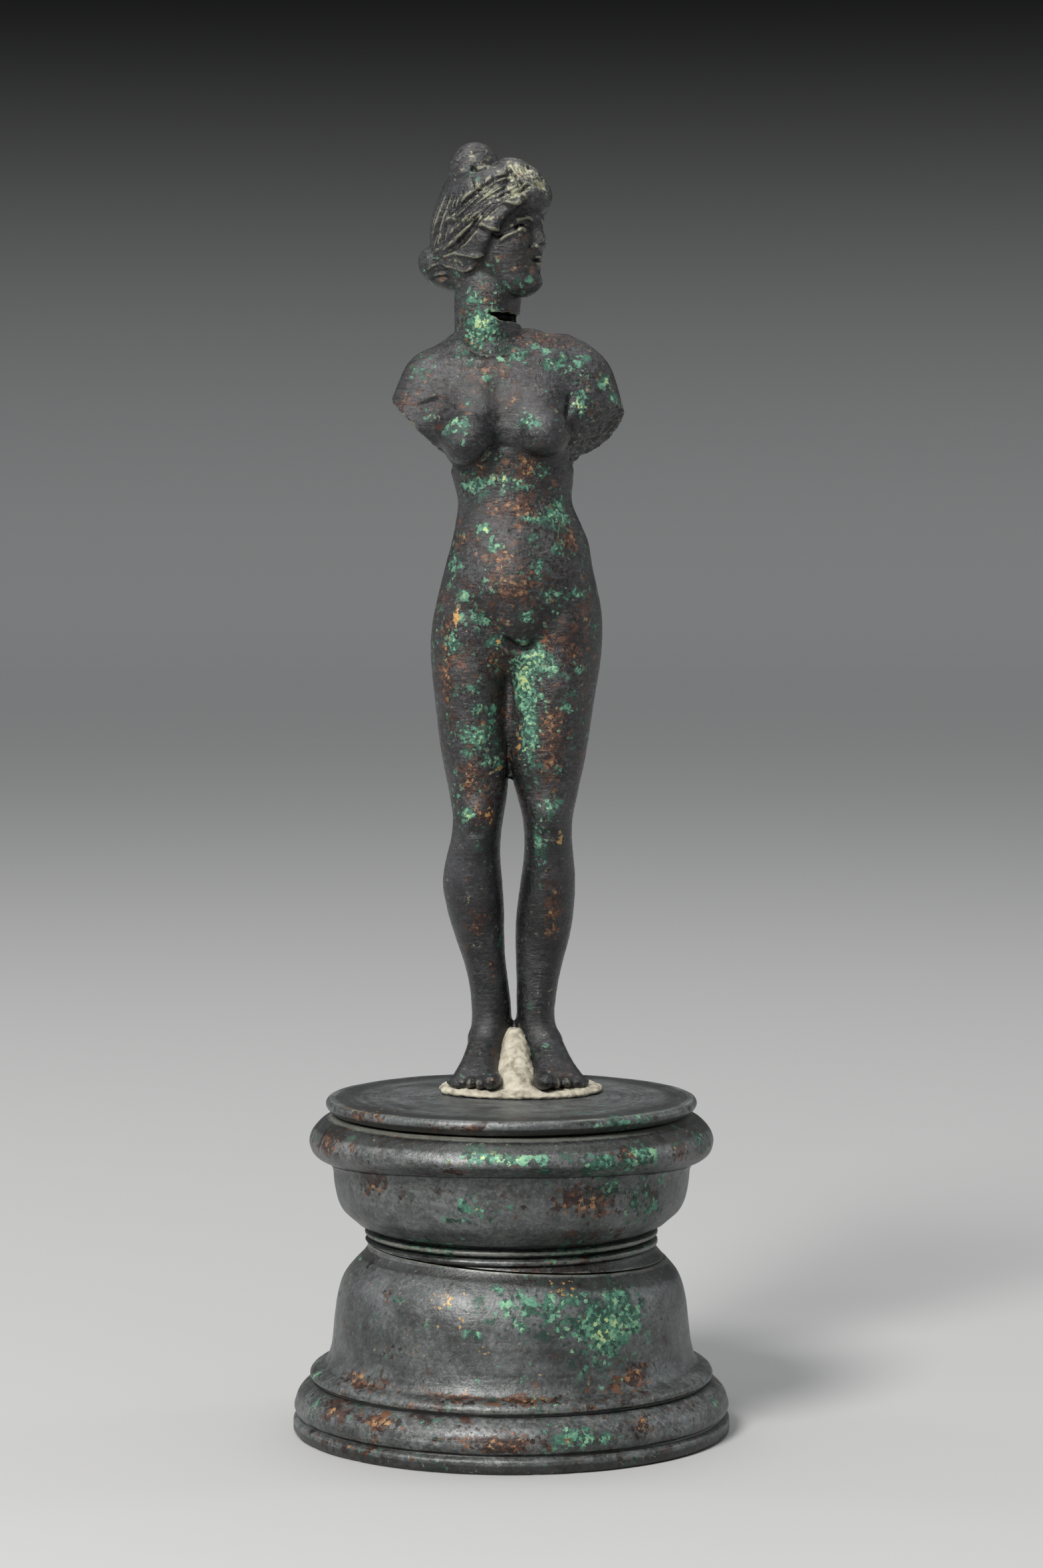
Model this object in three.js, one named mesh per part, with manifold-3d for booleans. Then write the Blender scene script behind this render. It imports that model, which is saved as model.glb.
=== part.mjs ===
// Small bronze figure of Venus on a turned bronze plinth.
// Millimetres, +Z up, the front of the figure faces -Y.
// The origin is the centre of the plinth's foot, on the surface that it stands on.

import * as THREE from 'three';
import { mergeVertices } from 'three/addons/utils/BufferGeometryUtils.js';
import Module from 'manifold-3d';

const wasm = await Module();
wasm.setup();

// Overall sizes
const totalHeight = 200;
const plinthHeight = 52;
const footRadius = 34;
const plateRadius = 28.8;
const plateThickness = 2.3;
const rimRadius = 31.4;
const neckRadius = 22.4;
const wall = 2.6;
const fitGap = 0.3;

// The upper plinth casting sits crooked on the bell: the seam drops towards +X.
const seamHeight = 28.4;
const seamSlope = -0.06;

// The figure stands behind the plinth's axis, on a bed of solder.
const bedThickness = 1;
const soleHeight = plinthHeight + bedThickness + fitGap;

const turnedSides = 36;
const bodySides = 26;
const legSides = 12;

// Mesh and solid helpers

function toSolid(geometry) {
  const bare = geometry.clone();
  bare.deleteAttribute('normal');
  bare.deleteAttribute('uv');
  const merged = mergeVertices(bare, 1e-4);
  const mesh = new wasm.Mesh({
    numProp: 3,
    vertProperties: new Float32Array(merged.attributes.position.array),
    triVerts: new Uint32Array(merged.index.array),
  });
  return new wasm.Manifold(mesh);
}

function toGeometry(solid) {
  const mesh = solid.getMesh();
  const geometry = new THREE.BufferGeometry();
  geometry.setAttribute('position', new THREE.BufferAttribute(new Float32Array(mesh.vertProperties), 3));
  geometry.setIndex(new THREE.BufferAttribute(new Uint32Array(mesh.triVerts), 1));
  geometry.computeVertexNormals();
  return geometry;
}

function join(solids) {
  return solids.reduce((whole, solid) => whole.add(solid));
}

// Closed skin over rings of equal point count, with a fan of faces at each end
function skin(rings) {
  const count = rings[0].length;
  const points = rings.flat();
  const faces = [];
  for (let row = 0; row < rings.length - 1; row += 1) {
    for (let side = 0; side < count; side += 1) {
      const a = row * count + side;
      const b = row * count + ((side + 1) % count);
      faces.push(a, b, b + count, a, b + count, a + count);
    }
  }
  const last = (rings.length - 1) * count;
  const bottom = points.length;
  const top = bottom + 1;
  for (const ring of [rings[0], rings[rings.length - 1]]) {
    const centre = ring.reduce((sum, point) => sum.add(point), new THREE.Vector3());
    points.push(centre.divideScalar(count));
  }
  for (let side = 0; side < count; side += 1) {
    const next = (side + 1) % count;
    faces.push(bottom, next, side);
    faces.push(top, last + side, last + next);
  }
  const geometry = new THREE.BufferGeometry().setFromPoints(points);
  geometry.setIndex(faces);
  return geometry;
}

// Oval ring at height z, counter-clockwise from above, squarer as power grows past 2
function oval(left, right, front, back, z, sides, power = 2) {
  const ring = [];
  const centreX = (left + right) / 2;
  const centreY = (front + back) / 2;
  for (let side = 0; side < sides; side += 1) {
    const angle = (side / sides) * Math.PI * 2;
    const cos = Math.cos(angle);
    const sin = Math.sin(angle);
    const x = Math.sign(cos) * Math.abs(cos) ** (2 / power);
    const y = Math.sign(sin) * Math.abs(sin) ** (2 / power);
    ring.push(new THREE.Vector3(
      centreX + x * (right - left) / 2,
      centreY + y * (back - front) / 2,
      z,
    ));
  }
  return ring;
}

// Stations are rows of [z, left, right, front, back], from the bottom up.
function loftStations(stations, sides, power, grow = 0) {
  const rings = stations.map(([z, left, right, front, back], row) => {
    const lift = row === 0 ? -grow : 0;
    return oval(left - grow, right + grow, front - grow, back + grow, z + lift, sides, power);
  });
  return toSolid(skin(rings));
}

// Rounded lump with optional grooves, such as a lock, a knot or a breast
function lump(centre, radii, columns, rows, groove = () => 1) {
  const geometry = new THREE.SphereGeometry(1, columns, rows);
  geometry.rotateX(Math.PI / 2);
  const place = geometry.attributes.position;
  for (let i = 0; i < place.count; i += 1) {
    const point = new THREE.Vector3().fromBufferAttribute(place, i);
    point.multiplyScalar(groove(point));
    point.multiply(radii);
    point.add(centre);
    place.setXYZ(i, point.x, point.y, point.z);
  }
  return toSolid(geometry);
}

// Turned piece from an outer and an inner outline, both as [radius, height] points
function turned(outline) {
  const points = outline.map(([radius, height]) => new THREE.Vector2(radius, height));
  const geometry = new THREE.LatheGeometry(points, turnedSides);
  geometry.rotateX(Math.PI / 2);
  return toSolid(geometry);
}

// Smooth curve through outline points
function bend(points, steps) {
  const curve = new THREE.SplineCurve(points.map(([radius, height]) => new THREE.Vector2(radius, height)));
  return curve.getPoints(steps).map((point) => [point.x, point.y]);
}

// Everything above or below the crooked seam, shifted by half the gap
function seamBlock(side) {
  const size = 120;
  const block = new THREE.BoxGeometry(size, size, size);
  block.translate(0, 0, side * (size / 2 - fitGap / 2));
  block.rotateY(-Math.atan(seamSlope));
  block.translate(0, 0, seamHeight);
  return toSolid(block);
}

// Plinth

function bell() {
  const shoulder = bend([
    [28.9, 10.9], [28.0, 13.5], [27.5, 17.5], [27.1, 21], [26.2, 24], [24.2, 26.5], [neckRadius, 28.6],
  ], 6);
  const outline = [
    [footRadius - 0.4, 0],
    [footRadius, 0.4],
    [footRadius, 2.1],
    [footRadius - 1, 2.7],
    ...bend([[33.5, 3.1], [33.85, 4.0], [33.4, 5.6], [32.7, 6.7], [31.3, 7.9]], 4),
    [30.6, 8.2],
    ...bend([[31.3, 8.5], [31.4, 9.2], [30.4, 10.1]], 2),
    ...shoulder,
    [neckRadius, 31],
    [neckRadius - wall, 31],
    [neckRadius - wall, 27.4],
    [24.2, 22],
    [25.4, 12],
    [footRadius - wall, 5.5],
    [footRadius - wall, 0],
    [footRadius - 0.4, 0],
  ];
  return turned(outline).subtract(seamBlock(1));
}

function cup() {
  const outline = [
    [25.4, 25],
    ...bend([[24.6, 26.1], [23.5, 27.3], [neckRadius, 28.7]], 2),
    [neckRadius + 0.3, 29.3],
    [neckRadius + 0.3, 30.1],
    [neckRadius - 0.4, 30.5],
    [neckRadius + 0.3, 30.9],
    [neckRadius + 0.3, 31.6],
    [neckRadius - 0.3, 32.0],
    ...bend([[23.6, 32.5], [25.0, 33.6], [26.6, 36], [27.4, 38.5], [28.0, 41.6]], 4),
    ...bend([[28.9, 42.1], [30.6, 43.4], [rimRadius, 45.5], [30.8, 47.2], [29.0, 48.7]], 4),
    [28.0, 48.9],
    [27.8, plinthHeight - plateThickness - fitGap],
    [28.0 - 1.2 * wall, plinthHeight - plateThickness - fitGap],
    [28.0 - 1.2 * wall, 38],
    [neckRadius - wall, 33.4],
    [neckRadius - wall, 25],
    [25.4, 25],
  ];
  return turned(outline).subtract(seamBlock(-1));
}

function plate() {
  const under = plinthHeight - plateThickness;
  return turned([
    [0, under],
    [27.3, under],
    [28.2, under + 0.6],
    ...bend([[plateRadius - 0.1, under + 1.2], [plateRadius, under + 1.7], [28.2, plinthHeight]], 2),
    [0, plinthHeight],
  ]);
}

// Torso, from the fork of the legs to the base of the neck
const torsoStations = [
  [117.5, -10.0, 11.0, 5.4, 14.6],
  [122, -12.3, 13.8, 1.6, 16.8],
  [126, -12.4, 14.35, -0.2, 17.2],
  [130, -11.5, 13.7, -0.9, 16.8],
  [134, -10.5, 12.75, -0.8, 16.2],
  [138, -9.3, 12.0, 0.0, 15.2],
  [141, -8.7, 10.7, 0.7, 14.3],
  [144.2, -8.35, 9.45, 1.3, 13.9],
  [147.5, -9.1, 9.6, 1.4, 14.3],
  [151, -10.1, 10.0, 0.9, 15.2],
  [155, -11.0, 10.6, 0.3, 16.3],
  [159, -12.4, 11.8, 0.4, 16.8],
  [163, -14.4, 13.4, 1.4, 16.6],
  [166, -14.4, 14.2, 2.7, 15.6],
  [168.6, -12.0, 12.8, 4.4, 14.2],
  [170.4, -9.2, 8.6, 5.8, 12.6],
];

// Swellings and hollows of the torso. Face is -1 on the front and 1 on the back.
const torsoForms = [
  { x: -6.7, z: 153.9, spreadX: 3.9, above: 6.0, below: 3.2, relief: 4.0, face: -1 },
  { x: 4.9, z: 154.6, spreadX: 3.9, above: 6.0, below: 3.2, relief: 4.0, face: -1 },
  { x: 0.4, z: 131.5, spreadX: 5.0, above: 5.5, below: 5.0, relief: 1.3, face: -1 },
  { x: 0.2, z: 143.5, spreadX: 3.0, above: 6.5, below: 5.0, relief: 0.5, face: -1 },
  { x: 1.4, z: 123.8, spreadX: 3.2, above: 3.0, below: 2.6, relief: 1.2, face: -1 },
  { x: -4.4, z: 126.0, spreadX: 2.0, above: 2.6, below: 2.6, relief: -0.7, face: -1 },
  { x: 7.0, z: 126.6, spreadX: 2.0, above: 2.6, below: 2.6, relief: -0.7, face: -1 },
  { x: -5.8, z: 123.6, spreadX: 4.8, above: 6.5, below: 5.4, relief: 3.2, face: 1 },
  { x: 7.4, z: 123.6, spreadX: 4.8, above: 6.5, below: 5.4, relief: 3.2, face: 1 },
  { x: 0.8, z: 146.0, spreadX: 1.7, above: 16, below: 12, relief: -1.1, face: 1 },
  { x: -7.0, z: 160.0, spreadX: 3.6, above: 5, below: 5, relief: 1.1, face: 1 },
  { x: 6.0, z: 160.4, spreadX: 3.6, above: 5, below: 5, relief: 1.1, face: 1 },
];

function torsoRelief(x, z, facing) {
  return torsoForms.reduce((sum, form) => {
    const weight = THREE.MathUtils.smoothstep(facing * form.face, 0.05, 0.6);
    const spreadZ = z > form.z ? form.above : form.below;
    return sum + form.face * weight * form.relief * bump(x - form.x, form.spreadX) * bump(z - form.z, spreadZ);
  }, 0);
}

function bump(offset, spread) {
  return Math.exp(-((offset / spread) ** 2));
}

function torso() {
  const rows = 22;
  const power = 2.3;
  const heights = torsoStations.map((station) => station[0]);
  const sizes = torsoStations.flatMap((station) => station.slice(1));
  const stations = new THREE.CubicInterpolant(heights, sizes, 4);
  const low = heights[0];
  const high = heights[heights.length - 1];
  const rings = [];
  for (let row = 0; row <= rows; row += 1) {
    const z = THREE.MathUtils.lerp(low, high, row / rows);
    const [left, right, front, back] = stations.evaluate(z);
    const ring = oval(left, right, front, back, z, bodySides, power);
    for (const point of ring) {
      const facing = (point.y - (front + back) / 2) / ((back - front) / 2);
      point.y += torsoRelief(point.x, z, facing);
    }
    rings.push(ring);
  }
  return toSolid(skin(rings));
}

// Legs, from the sole of the heel to the hip: the figure's right leg is at -X.
const rightLegStations = [
  [soleHeight, -5.9, -0.8, 8.0, 16.2],
  [56, -6.4, -0.3, 7.2, 16.7],
  [60, -6.6, 0.0, 7.2, 15.9],
  [64, -6.3, 0.0, 7.6, 15.0],
  [68, -6.65, -0.45, 7.5, 14.7],
  [72, -7.55, -0.95, 7.0, 14.8],
  [76, -8.9, -1.15, 6.3, 15.1],
  [80, -10.1, -1.2, 5.5, 15.4],
  [84.5, -10.8, -1.45, 4.7, 15.2],
  [88, -10.35, -1.75, 4.0, 14.0],
  [91.5, -9.5, -1.7, 3.0, 12.9],
  [95, -9.2, -1.25, 2.5, 12.6],
  [98.5, -9.7, -0.7, 2.6, 13.0],
  [103, -10.6, -0.45, 2.2, 13.8],
  [109, -11.6, -0.5, 1.7, 15.0],
  [115, -12.3, -0.55, 1.4, 16.6],
  [121.5, -12.8, -0.5, 1.0, 18.0],
  [126.5, -12.2, -1.0, 0.3, 17.6],
  [131, -9.8, -2.4, 1.6, 14.6],
];
const leftLegStations = [
  [soleHeight, 1.4, 6.3, 8.0, 16.0],
  [56, 1.0, 6.9, 7.2, 16.5],
  [60, 0.7, 7.0, 7.2, 15.7],
  [64, 0.75, 6.8, 7.6, 14.8],
  [68, 0.8, 7.25, 7.5, 14.5],
  [72, 0.7, 8.1, 7.0, 14.7],
  [76, 0.6, 9.15, 6.3, 15.0],
  [80, 0.8, 9.75, 5.5, 15.4],
  [84.5, 1.4, 10.0, 4.7, 15.2],
  [88, 1.85, 9.8, 4.0, 14.0],
  [91.5, 2.0, 9.45, 3.0, 12.9],
  [95, 1.7, 9.6, 2.5, 12.6],
  [98.5, 0.8, 10.3, 2.6, 13.0],
  [103, -0.3, 11.3, 2.2, 13.8],
  [109, -0.75, 12.4, 1.7, 15.0],
  [115, -0.8, 13.4, 1.4, 16.6],
  [121.5, -0.8, 14.3, 1.0, 18.0],
  [126.5, 0.2, 14.1, 0.3, 17.6],
  [131, 2.6, 12.4, 1.6, 14.6],
];

// Feet: heel and toe points on the ground, half width of the ball
const feet = {
  right: { heel: [-3.3, 16.4], toe: [-6.2, -2.8], ballHalfWidth: 4.3, bigToeSide: 1 },
  left: { heel: [3.8, 16.2], toe: [8.4, -2.8], ballHalfWidth: 4.6, bigToeSide: -1 },
};

// Share of the foot's length, share of the ball's half width, height of the instep
const footStations = [
  [0.0, 0.45, 2.6],
  [0.1, 0.66, 6.0],
  [0.28, 0.7, 9.0],
  [0.42, 0.74, 8.2],
  [0.58, 0.86, 6.0],
  [0.74, 1.0, 4.2],
  [0.88, 0.97, 2.9],
  [0.94, 0.86, 2.0],
];

function footSolid(foot, grow = 0) {
  const heel = new THREE.Vector3(...foot.heel, soleHeight);
  const toe = new THREE.Vector3(...foot.toe, soleHeight);
  const along = toe.clone().sub(heel);
  const across = new THREE.Vector3(-along.y, along.x, 0).normalize();
  const sides = 12;
  const rings = footStations.map(([share, width, height], row) => {
    const reach = row === 0 ? -grow : (row === footStations.length - 1 ? grow : 0);
    const centre = heel.clone().addScaledVector(along, share + reach / along.length());
    const ring = [];
    for (let side = 0; side < sides; side += 1) {
      const angle = (side / sides) * Math.PI * 2;
      const halfWidth = width * foot.ballHalfWidth + grow;
      const point = centre.clone().addScaledVector(across, Math.cos(angle) * halfWidth);
      const rise = Math.max(Math.sin(angle), -0.25);
      point.z = soleHeight - grow + (height + 2 * grow) * (rise + 0.25) / 1.25;
      ring.push(point);
    }
    return ring;
  });
  return toSolid(skin(rings));
}

function toes(foot, grow = 0) {
  const heel = new THREE.Vector3(...foot.heel, soleHeight);
  const toe = new THREE.Vector3(...foot.toe, soleHeight);
  const along = toe.clone().sub(heel).normalize();
  const across = new THREE.Vector3(-along.y, along.x, 0).multiplyScalar(foot.bigToeSide);
  const solids = [];
  for (let index = 0; index < 5; index += 1) {
    const share = index / 4;
    const size = index === 0 ? 1.5 : 1.05 - 0.05 * index;
    const place = toe.clone();
    place.addScaledVector(across, foot.ballHalfWidth * (0.74 - 1.55 * share));
    place.addScaledVector(along, -1.7 - 2.6 * share * share);
    place.z = soleHeight + size * 0.85;
    const radii = new THREE.Vector3(size + grow, size * 1.3 + grow, size * 0.85 + grow);
    solids.push(lump(place, radii, 6, 4));
  }
  return join(solids);
}

// Upper arm from the shoulder down, broken off along a slanted face
function armStump(shoulder, elbow, radius, breakPoint, breakNormal) {
  const top = new THREE.Vector3(...shoulder);
  const bottom = new THREE.Vector3(...elbow);
  const along = bottom.clone().sub(top);
  const turn = new THREE.Quaternion().setFromUnitVectors(
    new THREE.Vector3(0, -1, 0),
    along.clone().normalize(),
  );
  const geometry = new THREE.CapsuleGeometry(radius, along.length(), 3, 12);
  geometry.applyQuaternion(turn);
  geometry.translate(...top.clone().add(bottom).divideScalar(2).toArray());
  const size = 40;
  const block = new THREE.BoxGeometry(size, size, size);
  block.translate(0, 0, size / 2);
  block.applyQuaternion(new THREE.Quaternion().setFromUnitVectors(
    new THREE.Vector3(0, 0, 1),
    new THREE.Vector3(...breakNormal).normalize(),
  ));
  block.translate(...breakPoint);
  return toSolid(geometry).subtract(toSolid(block));
}

// Head: local axes are forward, aside and up, turned about the neck.
const headCentre = new THREE.Vector3(-2.8, 8.0, 0);
const chinHeight = 176.2;
const headHeight = 19;
const headTurn = THREE.MathUtils.degToRad(62);
const headForward = new THREE.Vector3(Math.sin(headTurn), -Math.cos(headTurn), 0);
const headAside = new THREE.Vector3(-Math.cos(headTurn), -Math.sin(headTurn), 0);

function headPoint(forward, aside, up) {
  const point = headCentre.clone();
  point.addScaledVector(headForward, forward);
  point.addScaledVector(headAside, aside);
  point.z = chinHeight + up * headHeight;
  return point;
}

// Share of the head's height, then centre forward, front, back and half width
const skullStations = [
  [0.0, 4.4, 2.6, 3.0, 2.0],
  [0.07, 2.8, 5.0, 9.0, 3.6],
  [0.16, 1.6, 6.3, 10.4, 4.6],
  [0.28, 0.8, 7.1, 10.4, 5.4],
  [0.42, 0.3, 7.7, 9.8, 5.9],
  [0.55, 0.0, 8.2, 9.9, 6.2],
  [0.68, 0.0, 8.3, 9.2, 6.3],
  [0.8, 0.0, 7.6, 8.2, 6.0],
  [0.91, 0.0, 6.0, 6.8, 5.1],
  [1.0, -0.2, 3.4, 4.2, 3.2],
];

// Plain classical face: height, angle from the front, spread up and round, and relief
const faceForms = [
  { up: 0.41, angle: 0, spreadUp: 0.05, spreadRound: 0.14, relief: 2.2 },
  { up: 0.49, angle: 0, spreadUp: 0.06, spreadRound: 0.13, relief: 1.4 },
  { up: 0.57, angle: 0, spreadUp: 0.05, spreadRound: 0.3, relief: 0.7 },
  { up: 0.5, angle: 0.42, spreadUp: 0.045, spreadRound: 0.2, relief: -0.8 },
  { up: 0.5, angle: -0.42, spreadUp: 0.045, spreadRound: 0.2, relief: -0.8 },
  { up: 0.26, angle: 0, spreadUp: 0.04, spreadRound: 0.28, relief: 0.7 },
  { up: 0.06, angle: 0, spreadUp: 0.06, spreadRound: 0.4, relief: 0.5 },
];

// Hair: how high it starts over the brow and at the nape, its thickness and its front roll
const hair = {
  browHeight: 0.75,
  napeHeight: 0.1,
  thickness: 1.3,
  rollRelief: 0.8,
  rollSpread: 0.07,
  waveDepth: 0.28,
  waves: 10,
};

function faceRelief(up, angle) {
  return faceForms.reduce((sum, form) => (
    sum + form.relief * bump(up - form.up, form.spreadUp) * bump(angle - form.angle, form.spreadRound)
  ), 0);
}

function hairRelief(up, angle) {
  const round = THREE.MathUtils.smoothstep(Math.abs(angle), 0.35, 2.2);
  const edge = THREE.MathUtils.lerp(hair.browHeight, hair.napeHeight, round);
  const cover = THREE.MathUtils.smoothstep(up, edge - 0.06, edge + 0.02);
  const roll = hair.rollRelief * bump(up - edge - 0.06, hair.rollSpread) * (1 - round);
  const wave = hair.waveDepth * Math.cos(angle * hair.waves + up * 16);
  return cover * (hair.thickness + roll + wave);
}

// Skull, face and hair as one skin round the head's upright axis
function head() {
  const columns = 22;
  const rows = 18;
  const heights = skullStations.map((station) => station[0]);
  const sizes = skullStations.flatMap((station) => station.slice(1));
  const skull = new THREE.CubicInterpolant(heights, sizes, 4);
  const rings = [];
  for (let row = 0; row <= rows; row += 1) {
    const up = Math.sin((row / rows) * Math.PI / 2 * 0.98) * 0.55 + (row / rows) * 0.45;
    const [centre, front, back, halfWidth] = skull.evaluate(Math.min(up, 1));
    const ring = [];
    for (let column = 0; column < columns; column += 1) {
      const angle = (column / columns) * Math.PI * 2;
      const fromFront = angle > Math.PI ? angle - Math.PI * 2 : angle;
      const relief = faceRelief(up, fromFront) + hairRelief(up, fromFront);
      const reach = Math.cos(angle) > 0 ? front : back;
      ring.push(headPoint(
        centre + Math.cos(angle) * (reach + relief),
        -Math.sin(angle) * (halfWidth + relief * 0.9),
        up * 1.04,
      ));
    }
    rings.push(ring);
  }
  return toSolid(skin(rings));
}

// Two knots of hair on the crown and a roll at the nape
function knots() {
  const strands = (count) => (point) => 1 + 0.05 * Math.cos(count * Math.atan2(point.y, point.x));
  const crown = headPoint(-3.8, 0.6, 0);
  crown.z = totalHeight - 4.94;
  const front = headPoint(4.6, 0.2, 0);
  front.z = totalHeight - 6.6;
  const nape = headPoint(-8.2, 0.2, 0);
  nape.z = 181.2;
  return [
    lump(crown, new THREE.Vector3(4.5, 4.5, 5.2), 12, 7, strands(6)),
    lump(front, new THREE.Vector3(4.2, 4.4, 5.0), 12, 7, strands(6)),
    lump(nape, new THREE.Vector3(4.5, 4.6, 3.7), 12, 6, strands(6)),
  ];
}

function neck() {
  return loftStations([
    [165, -8.6, 3.2, 4.0, 14.6],
    [168.5, -8.9, 2.4, 3.6, 13.6],
    [172, -8.85, 1.35, 3.1, 12.8],
    [176, -8.9, 1.6, 2.9, 12.8],
    [181, -8.4, 2.6, 3.4, 13.2],
  ], 14, 2);
}

// Open crack on the left side of the neck, widest at the edge
function neckCrack() {
  const outline = new THREE.Shape();
  outline.moveTo(-4.3, 173.4);
  outline.lineTo(-2.0, 172.4);
  outline.lineTo(3.5, 171.4);
  outline.lineTo(3.5, 172.7);
  outline.lineTo(-1.2, 173.5);
  outline.closePath();
  const depth = 9;
  const geometry = new THREE.ExtrudeGeometry(outline, { depth, bevelEnabled: false });
  geometry.rotateX(Math.PI / 2);
  geometry.translate(0, 1 + depth, 0);
  return toSolid(geometry);
}

function figure() {
  const solids = [
    torso(),
    loftStations(rightLegStations, legSides, 2.1),
    loftStations(leftLegStations, legSides, 2.1),
    footSolid(feet.right),
    footSolid(feet.left),
    toes(feet.right),
    toes(feet.left),
    armStump([-12.2, 8.6, 163.2], [-16.6, 8.2, 152.4], 5.1, [-14.6, 8, 155.9], [-0.72, 0.1, -0.7]),
    armStump([11.4, 8.4, 163.2], [14.6, 7.4, 152.4], 4.9, [13.0, 6.6, 154.9], [0.62, -0.38, -0.69]),
    neck(),
    head(),
    ...knots(),
  ];
  return join(solids).subtract(neckCrack());
}

// Bed of solder round the soles, with a web that climbs between the ankles
function footFill() {
  const bedCentre = [1.4, 6.2];
  const bedHalf = [12.8, 10.8];
  const low = plinthHeight + fitGap;
  const high = soleHeight + 0.2;
  const bedSides = 20;
  const bed = toSolid(skin([
    [low, 0],
    [low + 0.35, -0.1],
    [high, -1.4],
  ].map(([z, inset]) => oval(
    bedCentre[0] - bedHalf[0] - inset,
    bedCentre[0] + bedHalf[0] + inset,
    bedCentre[1] - bedHalf[1] - inset,
    bedCentre[1] + bedHalf[1] + inset,
    z,
    bedSides,
  ))));
  const web = loftStations([
    [low + 0.2, -3.8, 5.0, -3.8, 15],
    [54.8, -2.8, 4.2, -1.6, 14.4],
    [57.4, -1.9, 3.2, 2.6, 13.6],
    [60.2, -1.3, 2.5, 6.2, 12.4],
  ], 10, 2.4);
  const cutters = [
    loftStations(rightLegStations, legSides, 2.1, fitGap),
    loftStations(leftLegStations, legSides, 2.1, fitGap),
    footSolid(feet.right, fitGap),
    footSolid(feet.left, fitGap),
    toes(feet.right, fitGap),
    toes(feet.left, fitGap),
  ];
  return bed.add(web).subtract(join(cutters));
}

// Finishes

const bronze = new THREE.MeshStandardMaterial({ color: 0x3a3f3a, roughness: 0.45, metalness: 0.75 });
const turnedBronze = new THREE.MeshStandardMaterial({ color: 0x4a524a, roughness: 0.5, metalness: 0.7 });
const solder = new THREE.MeshStandardMaterial({ color: 0xb9b29a, roughness: 0.8, metalness: 0.1 });

const statuette = new THREE.Group();

function addPiece(name, solid, material) {
  const mesh = new THREE.Mesh(toGeometry(solid), material);
  mesh.name = name;
  statuette.add(mesh);
}

addPiece('plinth_bell', bell(), turnedBronze);
addPiece('plinth_cup', cup(), turnedBronze);
addPiece('plinth_plate', plate(), turnedBronze);
addPiece('foot_fill', footFill(), solder);
addPiece('figurine', figure(), bronze);

export default statuette;
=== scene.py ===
import math
import random

import bpy
import numpy as np
from mathutils import Matrix, Vector, noise
from mathutils.bvhtree import BVHTree


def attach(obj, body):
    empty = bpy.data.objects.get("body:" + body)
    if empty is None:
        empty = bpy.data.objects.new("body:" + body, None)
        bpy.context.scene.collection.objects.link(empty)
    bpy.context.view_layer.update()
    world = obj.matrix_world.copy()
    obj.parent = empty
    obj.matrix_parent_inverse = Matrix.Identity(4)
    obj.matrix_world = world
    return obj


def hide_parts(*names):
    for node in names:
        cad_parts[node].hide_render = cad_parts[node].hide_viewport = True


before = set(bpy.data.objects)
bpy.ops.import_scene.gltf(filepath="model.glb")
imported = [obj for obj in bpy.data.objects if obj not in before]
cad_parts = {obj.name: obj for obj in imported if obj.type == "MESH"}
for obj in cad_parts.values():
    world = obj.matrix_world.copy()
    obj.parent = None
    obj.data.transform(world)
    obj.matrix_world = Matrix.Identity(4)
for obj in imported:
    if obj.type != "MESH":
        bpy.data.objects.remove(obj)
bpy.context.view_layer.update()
bpy.ops.object.select_all(action="DESELECT")

# Everything is modelled in millimetres and brought to metres when it is finished
mm = 0.001
figureSize = dict(
    totalHeight=200.0,
    plinthHeight=52.0,
    bedThickness=1.0,
    fitGap=0.3,
)
soleHeight = figureSize["plinthHeight"] + figureSize["bedThickness"] + figureSize["fitGap"]


# Camera and studio

cameraSetup = dict(
    place=(1.5643 * mm, -650.19 * mm, 140.39 * mm),
    pitchDown=3.5,
    lens=96.65,
    sensor=36.0,
)

stageSetup = dict(
    floorRadius=3.6,
    wallRadius=5.2,
    wallHeight=1.9,
    rings=36,
    nearShade=0.36,  # pale paper at the object, painted darker than far off
    farShade=0.75,  # painted light: paler far off, where the lamps reach less
    wallDark=0.03,  # painted shade: share of that shade left at the wall's dark height
    darkHeight=0.9,
)

lightSetup = dict(
    key=dict(place=(-0.4, -0.7, 0.8), size=0.36, power=17.0, colour=(1.0, 0.985, 0.96)),
    top=dict(place=(0.0, 0.2, 1.3), size=0.9, power=8.0, colour=(1.0, 1.0, 1.0)),
    left=dict(place=(-0.85, 0.35, 0.35), size=0.25, power=1.2, colour=(0.95, 0.98, 1.0)),
    right=dict(place=(0.85, 0.3, 0.35), size=0.25, power=1.2, colour=(0.95, 0.98, 1.0)),
)
lightTarget = Vector((0.0, 0.0, 0.09))
worldColour = (0.3, 0.305, 0.31, 1.0)


def addCamera():
    tilt = math.radians(90 - cameraSetup["pitchDown"])
    bpy.ops.object.camera_add(location=cameraSetup["place"], rotation=(tilt, 0, 0))
    camera = bpy.context.object
    camera.name = "studioCamera"
    camera.data.lens = cameraSetup["lens"]
    camera.data.sensor_width = cameraSetup["sensor"]
    camera.data.sensor_fit = "AUTO"
    camera.data.clip_start = 0.01
    camera.data.clip_end = 100
    bpy.context.scene.camera = camera


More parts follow.
